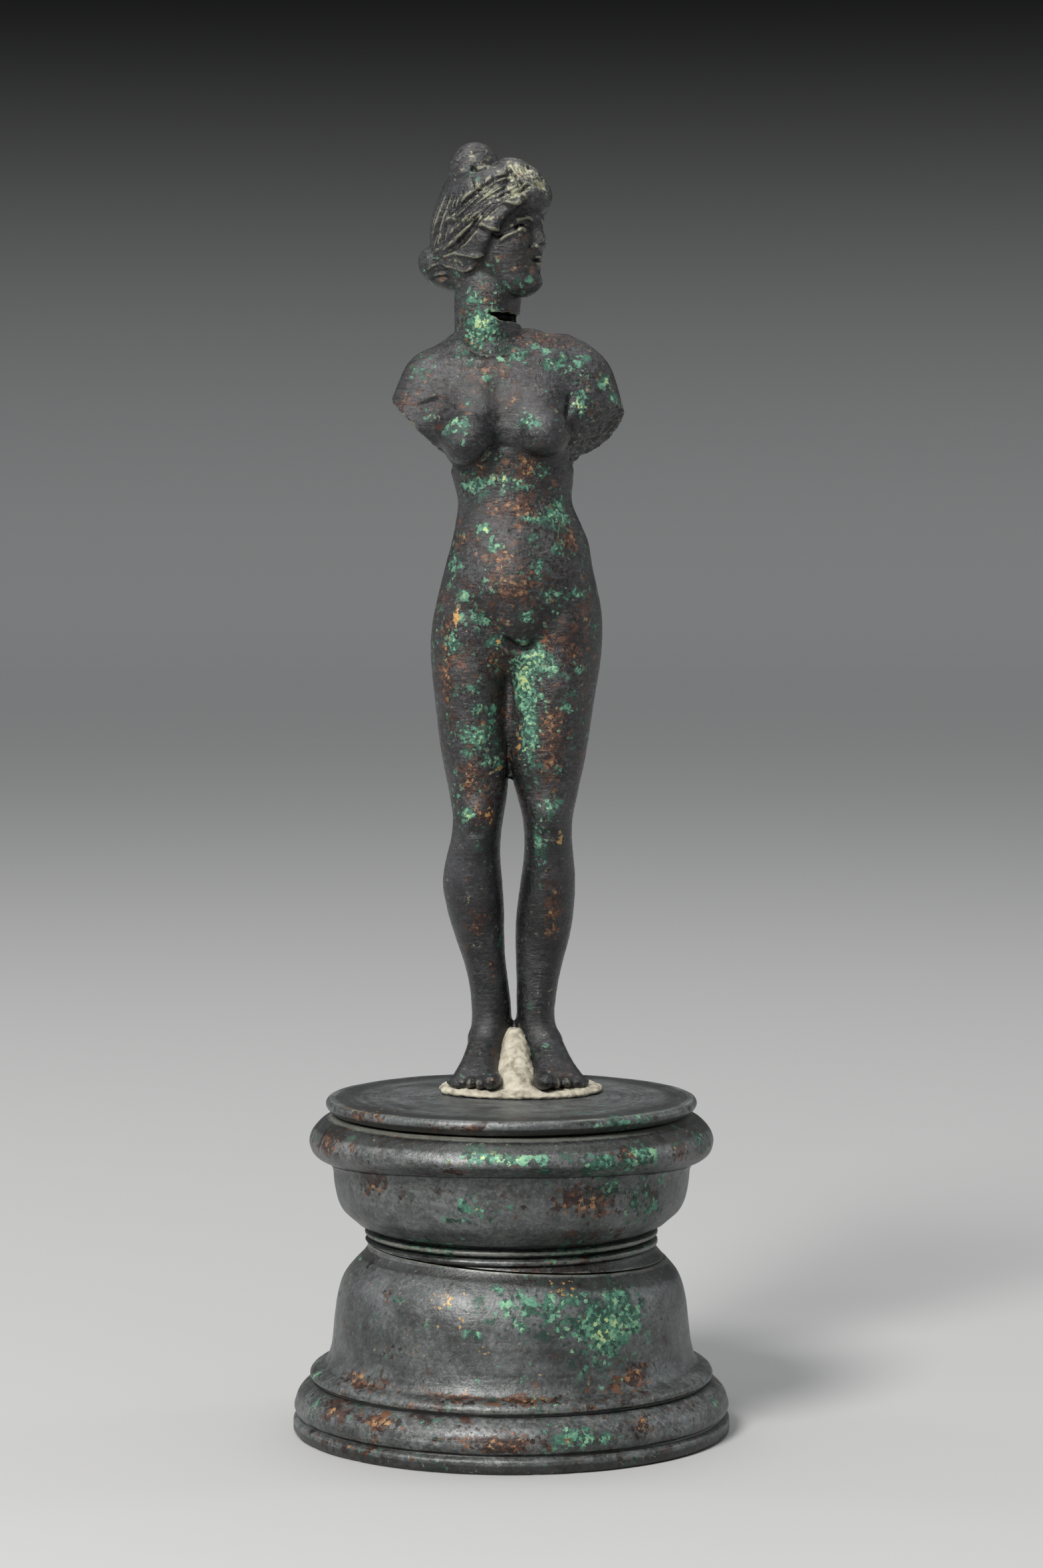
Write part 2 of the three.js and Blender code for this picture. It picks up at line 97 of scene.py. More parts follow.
def addLights():
    for name, light in lightSetup.items():
        place = Vector(light["place"])
        aim = (lightTarget - place).to_track_quat("-Z", "Y").to_euler()
        bpy.ops.object.light_add(type="AREA", location=place, rotation=aim)
        lamp = bpy.context.object
        lamp.name = name + "Light"
        lamp.data.shape = "DISK"
        lamp.data.size = light["size"]
        lamp.data.energy = light["power"]
        lamp.data.color = light["colour"]
    world = bpy.data.worlds.new("studioWorld")
    bpy.context.scene.world = world
    world.use_nodes = True
    world.node_tree.nodes["Background"].inputs["Color"].default_value = worldColour


def addStage():
    # A round floor that sweeps up into a wall darkened upwards by painted shade, the same seen from any side
    s = stageSetup
    bpy.ops.mesh.primitive_circle_add(vertices=96, radius=0.05, fill_type="NGON")
    stage = bpy.context.object
    stage.name = "studioFloor"
    bpy.ops.object.mode_set(mode="EDIT")
    bpy.ops.mesh.select_all(action="SELECT")
    bpy.ops.mesh.region_to_loop()
    radius, height = 0.05, 0.0
    for step in range(1, s["rings"] + 1):
        share = step / s["rings"]
        if share < 0.6:
            newRadius = 0.05 + (s["floorRadius"] - 0.05) * (share / 0.6) ** 2
            newHeight = 0.0
        else:
            turn = (share - 0.6) / 0.4
            newRadius = s["floorRadius"] + (s["wallRadius"] - s["floorRadius"]) * math.sin(turn * math.pi / 2)
            newHeight = s["wallHeight"] * (1 - math.cos(turn * math.pi / 2))
        bpy.ops.mesh.extrude_edges_move()
        factor = newRadius / radius
        bpy.ops.transform.resize(value=(factor, factor, 1), center_override=(0, 0, height))
        bpy.ops.transform.translate(value=(0, 0, newHeight - height))
        radius, height = newRadius, newHeight
    bpy.ops.mesh.select_all(action="SELECT")
    bpy.ops.mesh.normals_make_consistent(inside=True)
    bpy.ops.object.mode_set(mode="OBJECT")
    bpy.ops.object.shade_smooth()
    stage.data.materials.append(floorMaterial())


# Node helpers

def newMaterial(name):
    material = bpy.data.materials.new(name)
    material.use_nodes = True
    tree = material.node_tree
    shader = tree.nodes["Principled BSDF"]
    return material, tree, shader


def addNode(tree, kind, inputs=None, **settings):
    node = tree.nodes.new(kind)
    for key, value in settings.items():
        setattr(node, key, value)
    for key, value in (inputs or {}).items():
        socket = node.inputs[key]
        if isinstance(value, bpy.types.NodeSocket):
            tree.links.new(value, socket)
        else:
            socket.default_value = value
    return node


def ramp(tree, value, stops, interpolation="LINEAR"):
    node = addNode(tree, "ShaderNodeValToRGB", {"Fac": value})
    node.color_ramp.interpolation = interpolation
    elements = node.color_ramp.elements
    while len(elements) < len(stops):
        elements.new(0.5)
    for element, (place, colour) in zip(elements, stops):
        element.position = place
        element.color = (*colour, 1.0) if len(colour) == 3 else colour
    return node.outputs["Color"]


def mix(tree, factor, first, second, blend="MIX"):
    node = addNode(tree, "ShaderNodeMix", data_type="RGBA", blend_type=blend)
    for socket, value in ((node.inputs[0], factor), (node.inputs[6], first), (node.inputs[7], second)):
        if isinstance(value, bpy.types.NodeSocket):
            tree.links.new(value, socket)
        else:
            socket.default_value = value if isinstance(value, (int, float)) else (*value, 1.0)
    return node.outputs[2]


def maths(tree, operation, first, second=0.0, third=0.0, clamp=False):
    node = addNode(tree, "ShaderNodeMath", operation=operation, use_clamp=clamp)
    for socket, value in zip(node.inputs, (first, second, third)):
        if isinstance(value, bpy.types.NodeSocket):
            tree.links.new(value, socket)
        else:
            socket.default_value = value
    return node.outputs[0]


def between(tree, value, low, high, outLow=0.0, outHigh=1.0):
    node = addNode(tree, "ShaderNodeMapRange", {
        "Value": value, "From Min": low, "From Max": high, "To Min": outLow, "To Max": outHigh,
    }, interpolation_type="SMOOTHSTEP")
    return node.outputs["Result"]


def noiseAt(tree, vector, perMillimetre, detail=4.0, roughness=0.55, distortion=0.0):
    node = addNode(tree, "ShaderNodeTexNoise", {
        "Vector": vector, "Scale": perMillimetre / mm, "Detail": detail,
        "Roughness": roughness, "Distortion": distortion,
    })
    return node.outputs["Fac"]


def floorMaterial():
    material, tree, shader = newMaterial("palePaperPaintedLight")
    place = addNode(tree, "ShaderNodeTexCoord").outputs["Object"]
    split = addNode(tree, "ShaderNodeSeparateXYZ", {"Vector": place})
    flat = addNode(tree, "ShaderNodeCombineXYZ", {"X": split.outputs["X"], "Y": split.outputs["Y"]})
    radius = addNode(tree, "ShaderNodeVectorMath", {0: flat.outputs[0]}, operation="LENGTH").outputs["Value"]
    s = stageSetup
    # Painted light: the floor is paler far off, where the lamps reach less, and painted shade darkens the wall upwards
    floorShade = ramp(tree, maths(tree, "DIVIDE", radius, s["floorRadius"], clamp=True),
                      [(0.0, (s["nearShade"],) * 3), (1.0, (s["farShade"],) * 3)])
    wallShade = ramp(tree, maths(tree, "DIVIDE", split.outputs["Z"], s["wallHeight"]),
                     [(0.0, (1.0,) * 3), (s["darkHeight"] / s["wallHeight"], (s["wallDark"],) * 3)], "EASE")
    tree.links.new(mix(tree, 1.0, floorShade, wallShade, "MULTIPLY"), shader.inputs["Base Color"])
    shader.inputs["Roughness"].default_value = 0.9
    shader.inputs["Specular IOR Level"].default_value = 0.1
    return material


# Patina: slate-dark bronze broken up by dabs of green and brown, laid at two sizes

greens = [(0.0, (0.006, 0.02, 0.014)), (0.3, (0.013, 0.045, 0.032)), (0.55, (0.035, 0.12, 0.08)),
          (0.75, (0.1, 0.27, 0.18)), (0.9, (0.24, 0.42, 0.24)), (1.0, (0.44, 0.52, 0.22))]
browns = [(0.0, (0.008, 0.004, 0.003)), (0.45, (0.03, 0.014, 0.01)), (0.75, (0.075, 0.032, 0.018)),
          (0.93, (0.17, 0.075, 0.032)), (1.0, (0.34, 0.19, 0.08))]

figureLook = dict(
    slates=[(0.3, (0.006, 0.007, 0.007)), (0.5, (0.018, 0.019, 0.021)), (0.7, (0.042, 0.043, 0.048))],
    pale=(0.3, 0.3, 0.2),
    warm=(1.0, 0.62, 0.5),
    speckSize=0.36,
    dabSizes=(1.1, 0.42),
    bend=1.1,
    streaks=(0.5, 2.2, 0.0),
    streakDepth=0.4,
    green=0.34,
    brown=0.42,
    metallic=0.3,
    roughness=0.26,
    relief=0.14,
)


plinthLook = dict(
    slates=[(0.3, (0.03, 0.034, 0.034)), (0.5, (0.07, 0.077, 0.078)), (0.72, (0.14, 0.15, 0.152))],
    pale=(0.26, 0.26, 0.21),
    warm=(1.0, 0.86, 0.76),
    speckSize=0.5,
    dabSizes=(1.6, 0.6),
    bend=1.3,
    streaks=(0.05, 0.9, 0.5),
    streakDepth=0.3,
    green=0.3,
    brown=0.3,
    metallic=0.3,
    roughness=0.38,
    relief=0.07,
)
plateLook = dict(plinthLook, streaks=(0.05, 0.9, 1.4), streakDepth=0.5, green=0.2, brown=0.3)


def attributeOf(tree, name):
    return addNode(tree, "ShaderNodeAttribute", attribute_name=name).outputs["Fac"]


def bendPlace(tree, place, amount, perMillimetre):
    # Ragged outlines: each place is shifted a little by noise
    wave = addNode(tree, "ShaderNodeTexNoise", {
        "Vector": place, "Scale": perMillimetre / mm, "Detail": 4.0, "Roughness": 0.72,
    })
    size = amount * mm
    shift = addNode(tree, "ShaderNodeVectorMath", {
        0: wave.outputs["Color"], 1: (size, size, size), 2: (-size / 2, -size / 2, -size / 2),
    }, operation="MULTIPLY_ADD")
    return addNode(tree, "ShaderNodeVectorMath", {0: place, 1: shift.outputs[0]}).outputs[0]


def dabCells(tree, place, size):
    # Three random values for each dab
    cells = addNode(tree, "ShaderNodeTexVoronoi", {"Vector": place, "Scale": 1 / (size * mm)})
    parts = addNode(tree, "ShaderNodeSeparateColor", {"Color": cells.outputs["Color"]})
    return [parts.outputs[name] for name in ("Red", "Green", "Blue")]


def streakNoise(tree, place, streaks):
    # Long across and fine upwards, or outwards where the surface lies flat
    across, upwards, outwards = streaks
    split = addNode(tree, "ShaderNodeSeparateXYZ", {"Vector": place})
    x, y, z = (split.outputs[name] for name in "XYZ")
    if outwards:
        radius = maths(tree, "SQRT", maths(tree, "ADD", maths(tree, "MULTIPLY", x, x), maths(tree, "MULTIPLY", y, y)))
        z = maths(tree, "MULTIPLY_ADD", radius, outwards / upwards, z)
    squeezed = addNode(tree, "ShaderNodeCombineXYZ", {
        "X": maths(tree, "MULTIPLY", x, across / upwards), "Y": maths(tree, "MULTIPLY", y, across / upwards), "Z": z,
    }).outputs[0]
    return noiseAt(tree, squeezed, upwards, 4, 0.65, 0.3)


def patina(name, look):
    material, tree, shader = newMaterial(name)
    place = addNode(tree, "ShaderNodeTexCoord").outputs["Object"]
    bent = bendPlace(tree, place, look["bend"], 2.0)
    busy = attributeOf(tree, "busy")
    streak = streakNoise(tree, place, look["streaks"])
    broad = noiseAt(tree, place, 0.13, 5, 0.62, 0.5)
    grain = noiseAt(tree, place, 2.4, 4, 0.7)

    tone = maths(tree, "MULTIPLY_ADD", maths(tree, "SUBTRACT", streak, 0.5), look["streakDepth"], broad)
    tone = maths(tree, "MULTIPLY_ADD", maths(tree, "SUBTRACT", grain, 0.5), 0.35, tone)
    speck, hue, _ = dabCells(tree, bent, look["speckSize"])
    mottle = maths(tree, "MULTIPLY", maths(tree, "SUBTRACT", speck, 0.5), maths(tree, "MULTIPLY", busy, 0.4))
    colour = ramp(tree, maths(tree, "ADD", tone, mottle), look["slates"])
    colour = mix(tree, maths(tree, "MULTIPLY", between(tree, hue, 0.55, 0.75), maths(tree, "MULTIPLY", busy, 0.6)),
                 colour, look["warm"], "MULTIPLY")

    green = between(tree, noiseAt(tree, place, 0.24, 5, 0.6, 0.8), 0.42, 0.72)
    green = maths(tree, "MULTIPLY", green, maths(tree, "MULTIPLY", busy, look["green"]))
    green = maths(tree, "ADD", green, attributeOf(tree, "green"))
    shifted = addNode(tree, "ShaderNodeVectorMath", {0: place, 1: (0.31, 0.17, 0.05)}).outputs[0]
    brown = between(tree, noiseAt(tree, shifted, 0.16, 5, 0.6, 0.8), 0.4, 0.7)
    brown = maths(tree, "MULTIPLY", brown, maths(tree, "MULTIPLY", busy, look["brown"]))
    brown = maths(tree, "ADD", brown, attributeOf(tree, "brown"))
    lime = attributeOf(tree, "lime")
    green = maths(tree, "ADD", green, maths(tree, "MULTIPLY", lime, 0.8))
    crust = None
    for size in look["dabSizes"]:
        first, second, third = dabCells(tree, bent, size)
        isBrown = between(tree, maths(tree, "SUBTRACT", brown, first), 0.0, 0.14)
        shade = maths(tree, "MULTIPLY_ADD", attributeOf(tree, "brown"), 0.25, second)
        colour = mix(tree, isBrown, colour, ramp(tree, maths(tree, "SUBTRACT", shade, 0.12), browns))
        isGreen = between(tree, maths(tree, "SUBTRACT", green, third), 0.0, 0.14)
        shade = maths(tree, "MULTIPLY_ADD", grain, 0.6, maths(tree, "MULTIPLY", second, 0.75))
        shade = maths(tree, "MULTIPLY_ADD", lime, 0.35, shade)
        shade = maths(tree, "MULTIPLY_ADD", attributeOf(tree, "green"), 0.12, shade)
        colour = mix(tree, isGreen, colour, ramp(tree, maths(tree, "SUBTRACT", shade, 0.25), greens))
        crust = isGreen if crust is None else maths(tree, "MAXIMUM", crust, isGreen)

    hollow = attributeOf(tree, "hollow")
    # Darker, towards near black, in small hollows
    hollowDarkening = between(tree, maths(tree, "MULTIPLY_ADD", grain, 0.2, hollow), 0.72, 0.95, 0.0, 0.75)
    colour = mix(tree, hollowDarkening, colour, (0.008, 0.008, 0.007))
    # Dark patches: darker patina, and on the figure painted shade at the right armpit
    colour = mix(tree, maths(tree, "MULTIPLY", attributeOf(tree, "dark"), 0.85, clamp=True), colour, (0.004, 0.0045, 0.005))
    worn = between(tree, maths(tree, "MULTIPLY_ADD", grain, -0.5, hollow), 0.0, -0.2, 0.0, 0.45)
    flecks = noiseAt(tree, place, 1.1, 3, 0.6)
    # Pale patches: cream patina on the hair, and a painted highlight on the figure's right hip
    pale = between(tree, maths(tree, "MULTIPLY_ADD", attributeOf(tree, "pale"), 0.35, flecks), 0.62, 0.82, 0.0, 0.8)
    colour = mix(tree, maths(tree, "MAXIMUM", worn, pale), colour, look["pale"])
    gold = between(tree, maths(tree, "MULTIPLY_ADD", attributeOf(tree, "gold"), 0.3, flecks), 0.7, 0.78, 0.0, 0.9)
    colour = mix(tree, gold, colour, (0.42, 0.25, 0.08))
    tree.links.new(colour, shader.inputs["Base Color"])

    rough = maths(tree, "MULTIPLY_ADD", crust, 0.22, maths(tree, "MULTIPLY_ADD", streak, 0.3, look["roughness"] - 0.15))
    tree.links.new(rough, shader.inputs["Roughness"])
    shader.inputs["Metallic"].default_value = look["metallic"]
    shader.inputs["IOR"].default_value = 1.6
    height = maths(tree, "MULTIPLY_ADD", crust, 0.25, maths(tree, "MULTIPLY_ADD", streak, 0.9, grain))
    height = maths(tree, "MULTIPLY_ADD", noiseAt(tree, bent, 0.8, 3, 0.5), 1.2, height)
    bumpNode = addNode(tree, "ShaderNodeBump", {"Height": height, "Distance": look["relief"] * mm, "Strength": 1.0})
    tree.links.new(bumpNode.outputs["Normal"], shader.inputs["Normal"])
    return material


# Modelling helpers

def curveThrough(points, steps):
    # Points along a smooth curve through the outline's points
    pts = [np.array(p, float) for p in points]
    pts = [2 * pts[0] - pts[1]] + pts + [2 * pts[-1] - pts[-2]]
    spans = len(points) - 1
    result = []
    for step in range(steps + 1):
        t = step / steps * spans
        i = min(int(t), spans - 1)
        t -= i
        a, b, c, d = pts[i:i + 4]
        result.append(0.5 * (2 * b + (c - a) * t + (2 * a - 5 * b + 4 * c - d) * t * t
                             + (3 * b - a - 3 * c + d) * t ** 3))
    return [tuple(p) for p in result]


def spinPiece(name, outline, steps):
    # A profile drawn point by point and spun round the upright axis
    bpy.ops.object.select_all(action="DESELECT")
    bpy.ops.mesh.primitive_plane_add(size=1)
    piece = bpy.context.object
    piece.name = name
    bpy.ops.object.mode_set(mode="EDIT")
    bpy.ops.mesh.select_all(action="SELECT")
    bpy.ops.mesh.merge(type="CENTER")
    bpy.ops.transform.translate(value=(outline[0][0], 0, outline[0][1]))
    last = outline[0]
    for point in outline[1:]:
        step = (point[0] - last[0], 0, point[1] - last[1])
        bpy.ops.mesh.extrude_vertices_move(TRANSFORM_OT_translate={"value": step})
        last = point
    bpy.ops.mesh.select_all(action="SELECT")
    bpy.ops.mesh.remove_doubles(threshold=0.001)
    bpy.ops.mesh.select_all(action="SELECT")
    bpy.ops.mesh.spin(steps=steps, angle=math.tau, center=(0, 0, 0), axis=(0, 0, 1))
    bpy.ops.mesh.select_all(action="SELECT")
    bpy.ops.mesh.remove_doubles(threshold=0.001)
    bpy.ops.mesh.normals_make_consistent(inside=False)
    bpy.ops.object.mode_set(mode="OBJECT")
    return piece


def cutAway(piece, point, normal, bridge=False):
    # Everything on the normal's side is cut off, and the cut is closed
    bpy.context.view_layer.objects.active = piece
    bpy.ops.object.mode_set(mode="EDIT")
    bpy.ops.mesh.select_all(action="SELECT")
    bpy.ops.mesh.bisect(plane_co=point, plane_no=normal, clear_outer=True, use_fill=not bridge, threshold=0.0001)
    if bridge:
        bpy.ops.mesh.select_all(action="DESELECT")
        bpy.ops.mesh.select_non_manifold()
        bpy.ops.mesh.bridge_edge_loops()
    bpy.ops.mesh.select_all(action="SELECT")
    bpy.ops.mesh.normals_make_consistent(inside=False)
    bpy.ops.object.mode_set(mode="OBJECT")


def readPoints(piece):
    points = np.empty(len(piece.data.vertices) * 3)
    piece.data.vertices.foreach_get("co", points)
    return points.reshape(-1, 3)


def readNormals(piece):
    normals = np.empty(len(piece.data.vertices) * 3, np.float32)
    piece.data.vertices.foreach_get("normal", normals)
    return normals.reshape(-1, 3).astype(float)


def writePoints(piece, points):
    piece.data.vertices.foreach_set("co", points.ravel())
    piece.data.update()


def useModifier(piece, kind, **settings):
    bpy.context.view_layer.objects.active = piece
    modifier = piece.modifiers.new(kind.title(), kind)
    for key, value in settings.items():
        setattr(modifier, key, value)
    bpy.ops.object.modifier_apply(modifier=modifier.name)


def remesh(piece, size):
    bpy.ops.object.select_all(action="DESELECT")
    piece.select_set(True)
    bpy.context.view_layer.objects.active = piece
    piece.data.remesh_voxel_size = size
    piece.data.remesh_voxel_adaptivity = 0
    piece.data.use_remesh_fix_poles = False
    bpy.ops.object.voxel_remesh()


def finishPiece(piece, material, node, smoothAngle=40):
    bpy.ops.object.select_all(action="DESELECT")
    piece.select_set(True)
    bpy.context.view_layer.objects.active = piece
    piece.scale = (mm, mm, mm)
    bpy.ops.object.transform_apply(location=True, rotation=True, scale=True)
    bpy.ops.object.shade_smooth_by_angle(angle=math.radians(smoothAngle))
    piece.data.materials.clear()
    piece.data.materials.append(material)
    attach(piece, "root")
    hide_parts(node)
    print("finished", piece.name, len(piece.data.polygons), "faces")


# Plinth

plinth = dict(
    footRadius=34.0,
    plateRadius=28.8,
    plateThickness=2.3,
    rimRadius=31.4,
    rimLift=2.0,
    neckRadius=22.4,
    wall=2.6,
    seamHeight=28.4,
    seamSlope=-0.06,
    spinSteps=240,
)


def bellOutline():
    p = plinth
    foot, neck, wall = p["footRadius"], p["neckRadius"], p["wall"]
    outline = [(foot - wall, 0.0), (foot - 1.0, 0.0)]
    outline += curveThrough([(foot - 0.45, 0.06), (foot - 0.05, 0.45), (foot, 1.2), (foot - 0.08, 2.0),
                             (foot - 0.5, 2.35)], 12)
    outline += curveThrough([(33.15, 2.5), (33.05, 2.75), (33.2, 2.98)], 4)
    outline += curveThrough([(33.55, 3.15), (33.85, 4.0), (33.6, 5.0), (33.3, 5.9), (32.6, 6.8),
                             (31.5, 7.7), (31.0, 7.95)], 20)
    outline += [(30.75, 8.1), (30.75, 8.3)]
    outline += curveThrough([(31.1, 8.45), (31.4, 8.8), (31.25, 9.4), (30.7, 9.95), (30.0, 10.25)], 10)
    outline += curveThrough([(29.4, 10.45), (28.9, 10.9), (28.35, 12.2), (27.9, 14.2), (27.55, 17.5), (27.1, 21.0),
                             (26.2, 24.0), (24.6, 26.2), (23.2, 27.6), (neck, 28.7)], 46)
    outline += [(neck, 31.0), (neck - wall, 31.0), (neck - wall, 27.4)]
    outline += curveThrough([(neck - wall + 0.4, 26.9), (24.2, 22.0), (25.4, 12.0)], 10)
    outline += [(foot - wall, 5.5), (foot - wall, 0.0)]
    return outline


def cupOutline():
    p = plinth
    neck, wall, rim = p["neckRadius"], p["wall"], p["rimRadius"]
    top = figureSize["plinthHeight"] - p["plateThickness"] - figureSize["fitGap"]
    inner = 28.0 - 1.2 * wall
    outline = [(neck - wall, 25.0), (25.4, 25.0)]
    outline += curveThrough([(24.6, 26.1), (23.5, 27.3), (22.7, 28.3), (neck - 0.1, 28.95)], 8)
    for low, high in ((29.1, 30.2), (30.6, 31.6)):
        # Two thin turned rings, with fine grooves above them
        outline += curveThrough([(neck - 0.25, low), (neck + 0.25, low + 0.2), (neck + 0.4, (low + high) / 2),
                                 (neck + 0.25, high - 0.2), (neck - 0.2, high)], 8)
        outline += [(neck - 0.55, high + 0.15)]
    outline += [(neck - 0.4, 32.1)]
    outline += curveThrough([(neck - 0.1, 32.25), (neck + 0.5, 32.3), (23.3, 32.45), (24.0, 32.75)], 6)
    outline += curveThrough([(24.5, 33.2), (25.3, 33.9), (26.3, 34.9), (26.95, 36.2), (27.35, 37.7), (27.6, 39.3),
                             (27.7, 40.7), (27.9, 41.4)], 26)
    outline += [(28.15, 41.75), (28.1, 41.95)]
    outline += curveThrough([(28.4, 42.0), (29.2, 42.3), (30.1, 42.8), (30.9, 43.6), (31.3, 44.6), (rim, 45.4),
                             (31.2, 46.3), (30.7, 47.2), (29.7, 48.3), (28.8, 48.85)], 32)
    outline += [(28.2, 49.0), (27.6, top), (inner, top), (inner, 38.0), (neck - wall, 33.4), (neck - wall, 25.0)]
    return outline


def plateOutline():
    p = plinth
    top = figureSize["plinthHeight"]
    under = top - p["plateThickness"]
    rim = p["plateRadius"]
    outline = [(0.0, under), (27.0, under)]
    outline += curveThrough([(27.4, under + 0.05), (27.9, under + 0.2), (28.5, under + 0.7), (rim, under + 1.25),
                             (rim - 0.05, under + 1.75), (rim - 0.35, top - 0.12), (rim - 0.9, top)], 16)
    outline += [(27.0, top - 0.05), (22.0, top), (14.0, top), (7.0, top), (0.0, top)]
    return outline


def handCast(piece, depth, size, seed):
    # Slight unevenness of an old casting
    points = readPoints(piece)
    normals = readNormals(piece)
    shift = Vector((seed, seed * 1.7, -seed))
    for i, point in enumerate(points):
        value = noise.fractal(Vector(point) / size + shift, 1.0, 2.0, 3)
        points[i] = point + normals[i] * value * depth
    # It stays on the ground, and within the foot
    points[:, 2] = np.maximum(points[:, 2], 0)
    reach = np.hypot(points[:, 0], points[:, 1])
    points[:, :2] *= np.minimum(1, plinth["footRadius"] / np.maximum(reach, 1))[:, None]
    writePoints(piece, points)


def nick(points, normals, centre, radius, depth):
    away = np.linalg.norm(points - np.array(centre), axis=1)
    near = away < radius
    fall = (1 - (away[near] / radius) ** 2) ** 2
    points[near] -= normals[near] * (depth * fall)[:, None]


def edgeNicks(piece, rows, seed):
    # Small knocks along the turned edges: count, radius, height, size and depth of each row
    draw = random.Random(seed)
    points = readPoints(piece)
    normals = readNormals(piece)
    for count, radius, height, size, depth in rows:
        for _ in range(count):
            turn = draw.uniform(0, math.tau)
            reach = size * draw.uniform(0.5, 1.3)
            centre = (radius * math.cos(turn), radius * math.sin(turn), height + draw.uniform(-0.2, 0.2))
            nick(points, normals, centre, reach, depth * draw.uniform(0.4, 1.2))
    writePoints(piece, points)


# Patina of the plinth, seen from the front: across, up, spread across and up, strength
plinthSpots = dict(
    green=[
        (5.0, 23.5, 7.0, 3.0, 0.5), (14.0, 20.0, 5.0, 4.5, 0.85), (17.0, 24.0, 3.5, 2.4, 0.6), (1.5, 21.0, 0.8, 0.6, 1.0),
        (-5.5, 19.5, 1.4, 0.9, 0.5), (-17.0, 24.0, 0.8, 0.6, 0.9), (10.0, 5.0, 4.0, 1.4, 0.7), (-11.0, 0.8, 1.6, 0.7, 0.7),
        (18.0, 1.0, 1.2, 0.6, 0.7), (13.0, 45.5, 3.2, 1.4, 0.8), (20.0, 46.2, 3.2, 1.8, 0.7), (-2.0, 47.0, 7.0, 1.2, 0.45),
        (18.0, 50.8, 6.0, 1.6, 0.6), (-6.0, 38.0, 3.0, 1.6, 0.6), (15.0, 41.4, 2.2, 1.2, 0.7), (21.0, 38.0, 4.0, 4.0, 0.4),
        (-12.0, 31.5, 6.0, 1.2, 0.5), (10.0, 31.0, 8.0, 1.2, 0.5), (29.0, 46.5, 1.5, 1.5, 0.6),
    ],
    lime=[
        (14.5, 19.5, 2.4, 2.0, 0.7), (1.5, 21.0, 0.6, 0.5, 0.8), (-2.0, 47.2, 4.0, 0.8, 0.6), (18.5, 20.5, 1.4, 1.2, 0.7),
        (19.0, 47.0, 1.4, 0.8, 0.6),
    ],
    brown=[
        (19.0, 12.5, 3.2, 1.6, 0.9), (-23.0, 11.0, 5.0, 1.0, 0.8), (-7.5, 10.6, 3.0, 0.5, 0.9), (1.5, 10.4, 4.0, 0.6, 0.8),
        (-27.0, 7.0, 3.0, 1.6, 0.9), (-20.0, 6.4, 4.0, 1.0, 0.7), (-1.5, 4.8, 7.5, 1.4, 0.75), (20.0, 6.0, 2.0, 1.2, 0.8),
        (-24.0, 1.6, 7.0, 1.6, 0.5), (-21.0, 41.5, 3.0, 1.6, 0.7), (11.5, 39.5, 6.0, 2.2, 0.6), (-8.5, 44.6, 2.0, 0.7, 1.0),
        (17.0, 46.8, 1.6, 1.4, 0.8), (26.0, 46.0, 2.0, 1.6, 0.9), (-27.5, 47.0, 3.4, 1.8, 0.8), (-22.0, 51.5, 5.0, 1.2, 0.6),
        (-8.0, 50.6, 4.0, 0.8, 0.8), (8.0, 28.5, 10.0, 1.4, 0.5), (-19.0, 24.0, 0.8, 0.6, 1.0),
    ],
    dark=[
        (-11.0, 21.5, 1.8, 2.2, 0.5), (-22.0, 18.0, 3.0, 6.0, 0.25), (-22.0, 41.5, 2.6, 1.5, 0.4),
    ],
    gold=[
        (-9.0, 25.5, 2.0, 1.0, 0.4), (-11.0, 24.0, 4.0, 1.2, 0.5), (-8.0, 21.5, 1.6, 1.4, 0.6), (-13.5, 18.0, 3.2, 1.6, 0.4),
        (-4.0, 17.5, 1.5, 1.0, 0.6), (8.5, 26.0, 3.6, 1.4, 0.5), (22.0, 5.8, 1.6, 0.8, 0.6), (-24.0, 51.0, 4.0, 1.0, 0.4),
    ],
)
plinthBusy = [(0, 0.6), (7, 0.8), (10.4, 0.7), (14, 0.4), (24, 0.5), (28, 0.6), (32, 0.8), (36, 0.45), (42, 0.7),
              (49, 0.8), (50, 0.5), (52, 0.4)]


def makePlinth():
    p = plinth
    gap = figureSize["fitGap"] / 2
    slope = Vector((-p["seamSlope"], 0, 1)).normalized()
    bell = spinPiece("plinthBell", bellOutline(), p["spinSteps"])
    cutAway(bell, (0, 0, p["seamHeight"] - gap), slope, bridge=True)
    cup = spinPiece("plinthCup", cupOutline(), p["spinSteps"])
    cutAway(cup, (0, 0, p["seamHeight"] + gap), -slope, bridge=True)
    plate = spinPiece("plinthPlate", plateOutline(), p["spinSteps"])
    # The rim's lower edge rides up across the front
    points = readPoints(cup)
    front = np.clip(-points[:, 1] / p["rimRadius"], 0, 1) ** 1.5
    points[:, 2] += p["rimLift"] * front * bump(points[:, 2] - 42.4, 2.4) * (np.hypot(*points[:, :2].T) > 25)
    writePoints(cup, points)
    handCast(bell, 0.07, 6.0, 3.1)
    handCast(cup, 0.06, 6.0, 5.7)
    handCast(plate, 0.04, 7.0, 8.3)
    edgeNicks(bell, [(26, 33.9, 0.3, 0.8, 0.22), (22, 33.9, 2.0, 0.6, 0.16), (16, 33.6, 4.4, 0.9, 0.14),
                     (12, 31.3, 8.9, 0.6, 0.15)], 11)
    edgeNicks(cup, [(16, 31.3, 45.4, 1.0, 0.14), (20, 22.7, 30.9, 0.5, 0.2)], 12)
    edgeNicks(plate, [(26, 28.7, 51.4, 0.7, 0.2)], 13)
    for piece in (bell, cup, plate):
        markHollows(piece)
        paintSpots(piece, plinthSpots, plinthBusy)
    turned = patina("plinthPatina", plinthLook)
    finishPiece(bell, turned, "plinth_bell")
    finishPiece(cup, turned, "plinth_cup")
    finishPiece(plate, patina("platePatina", plateLook), "plinth_plate")


# Figure

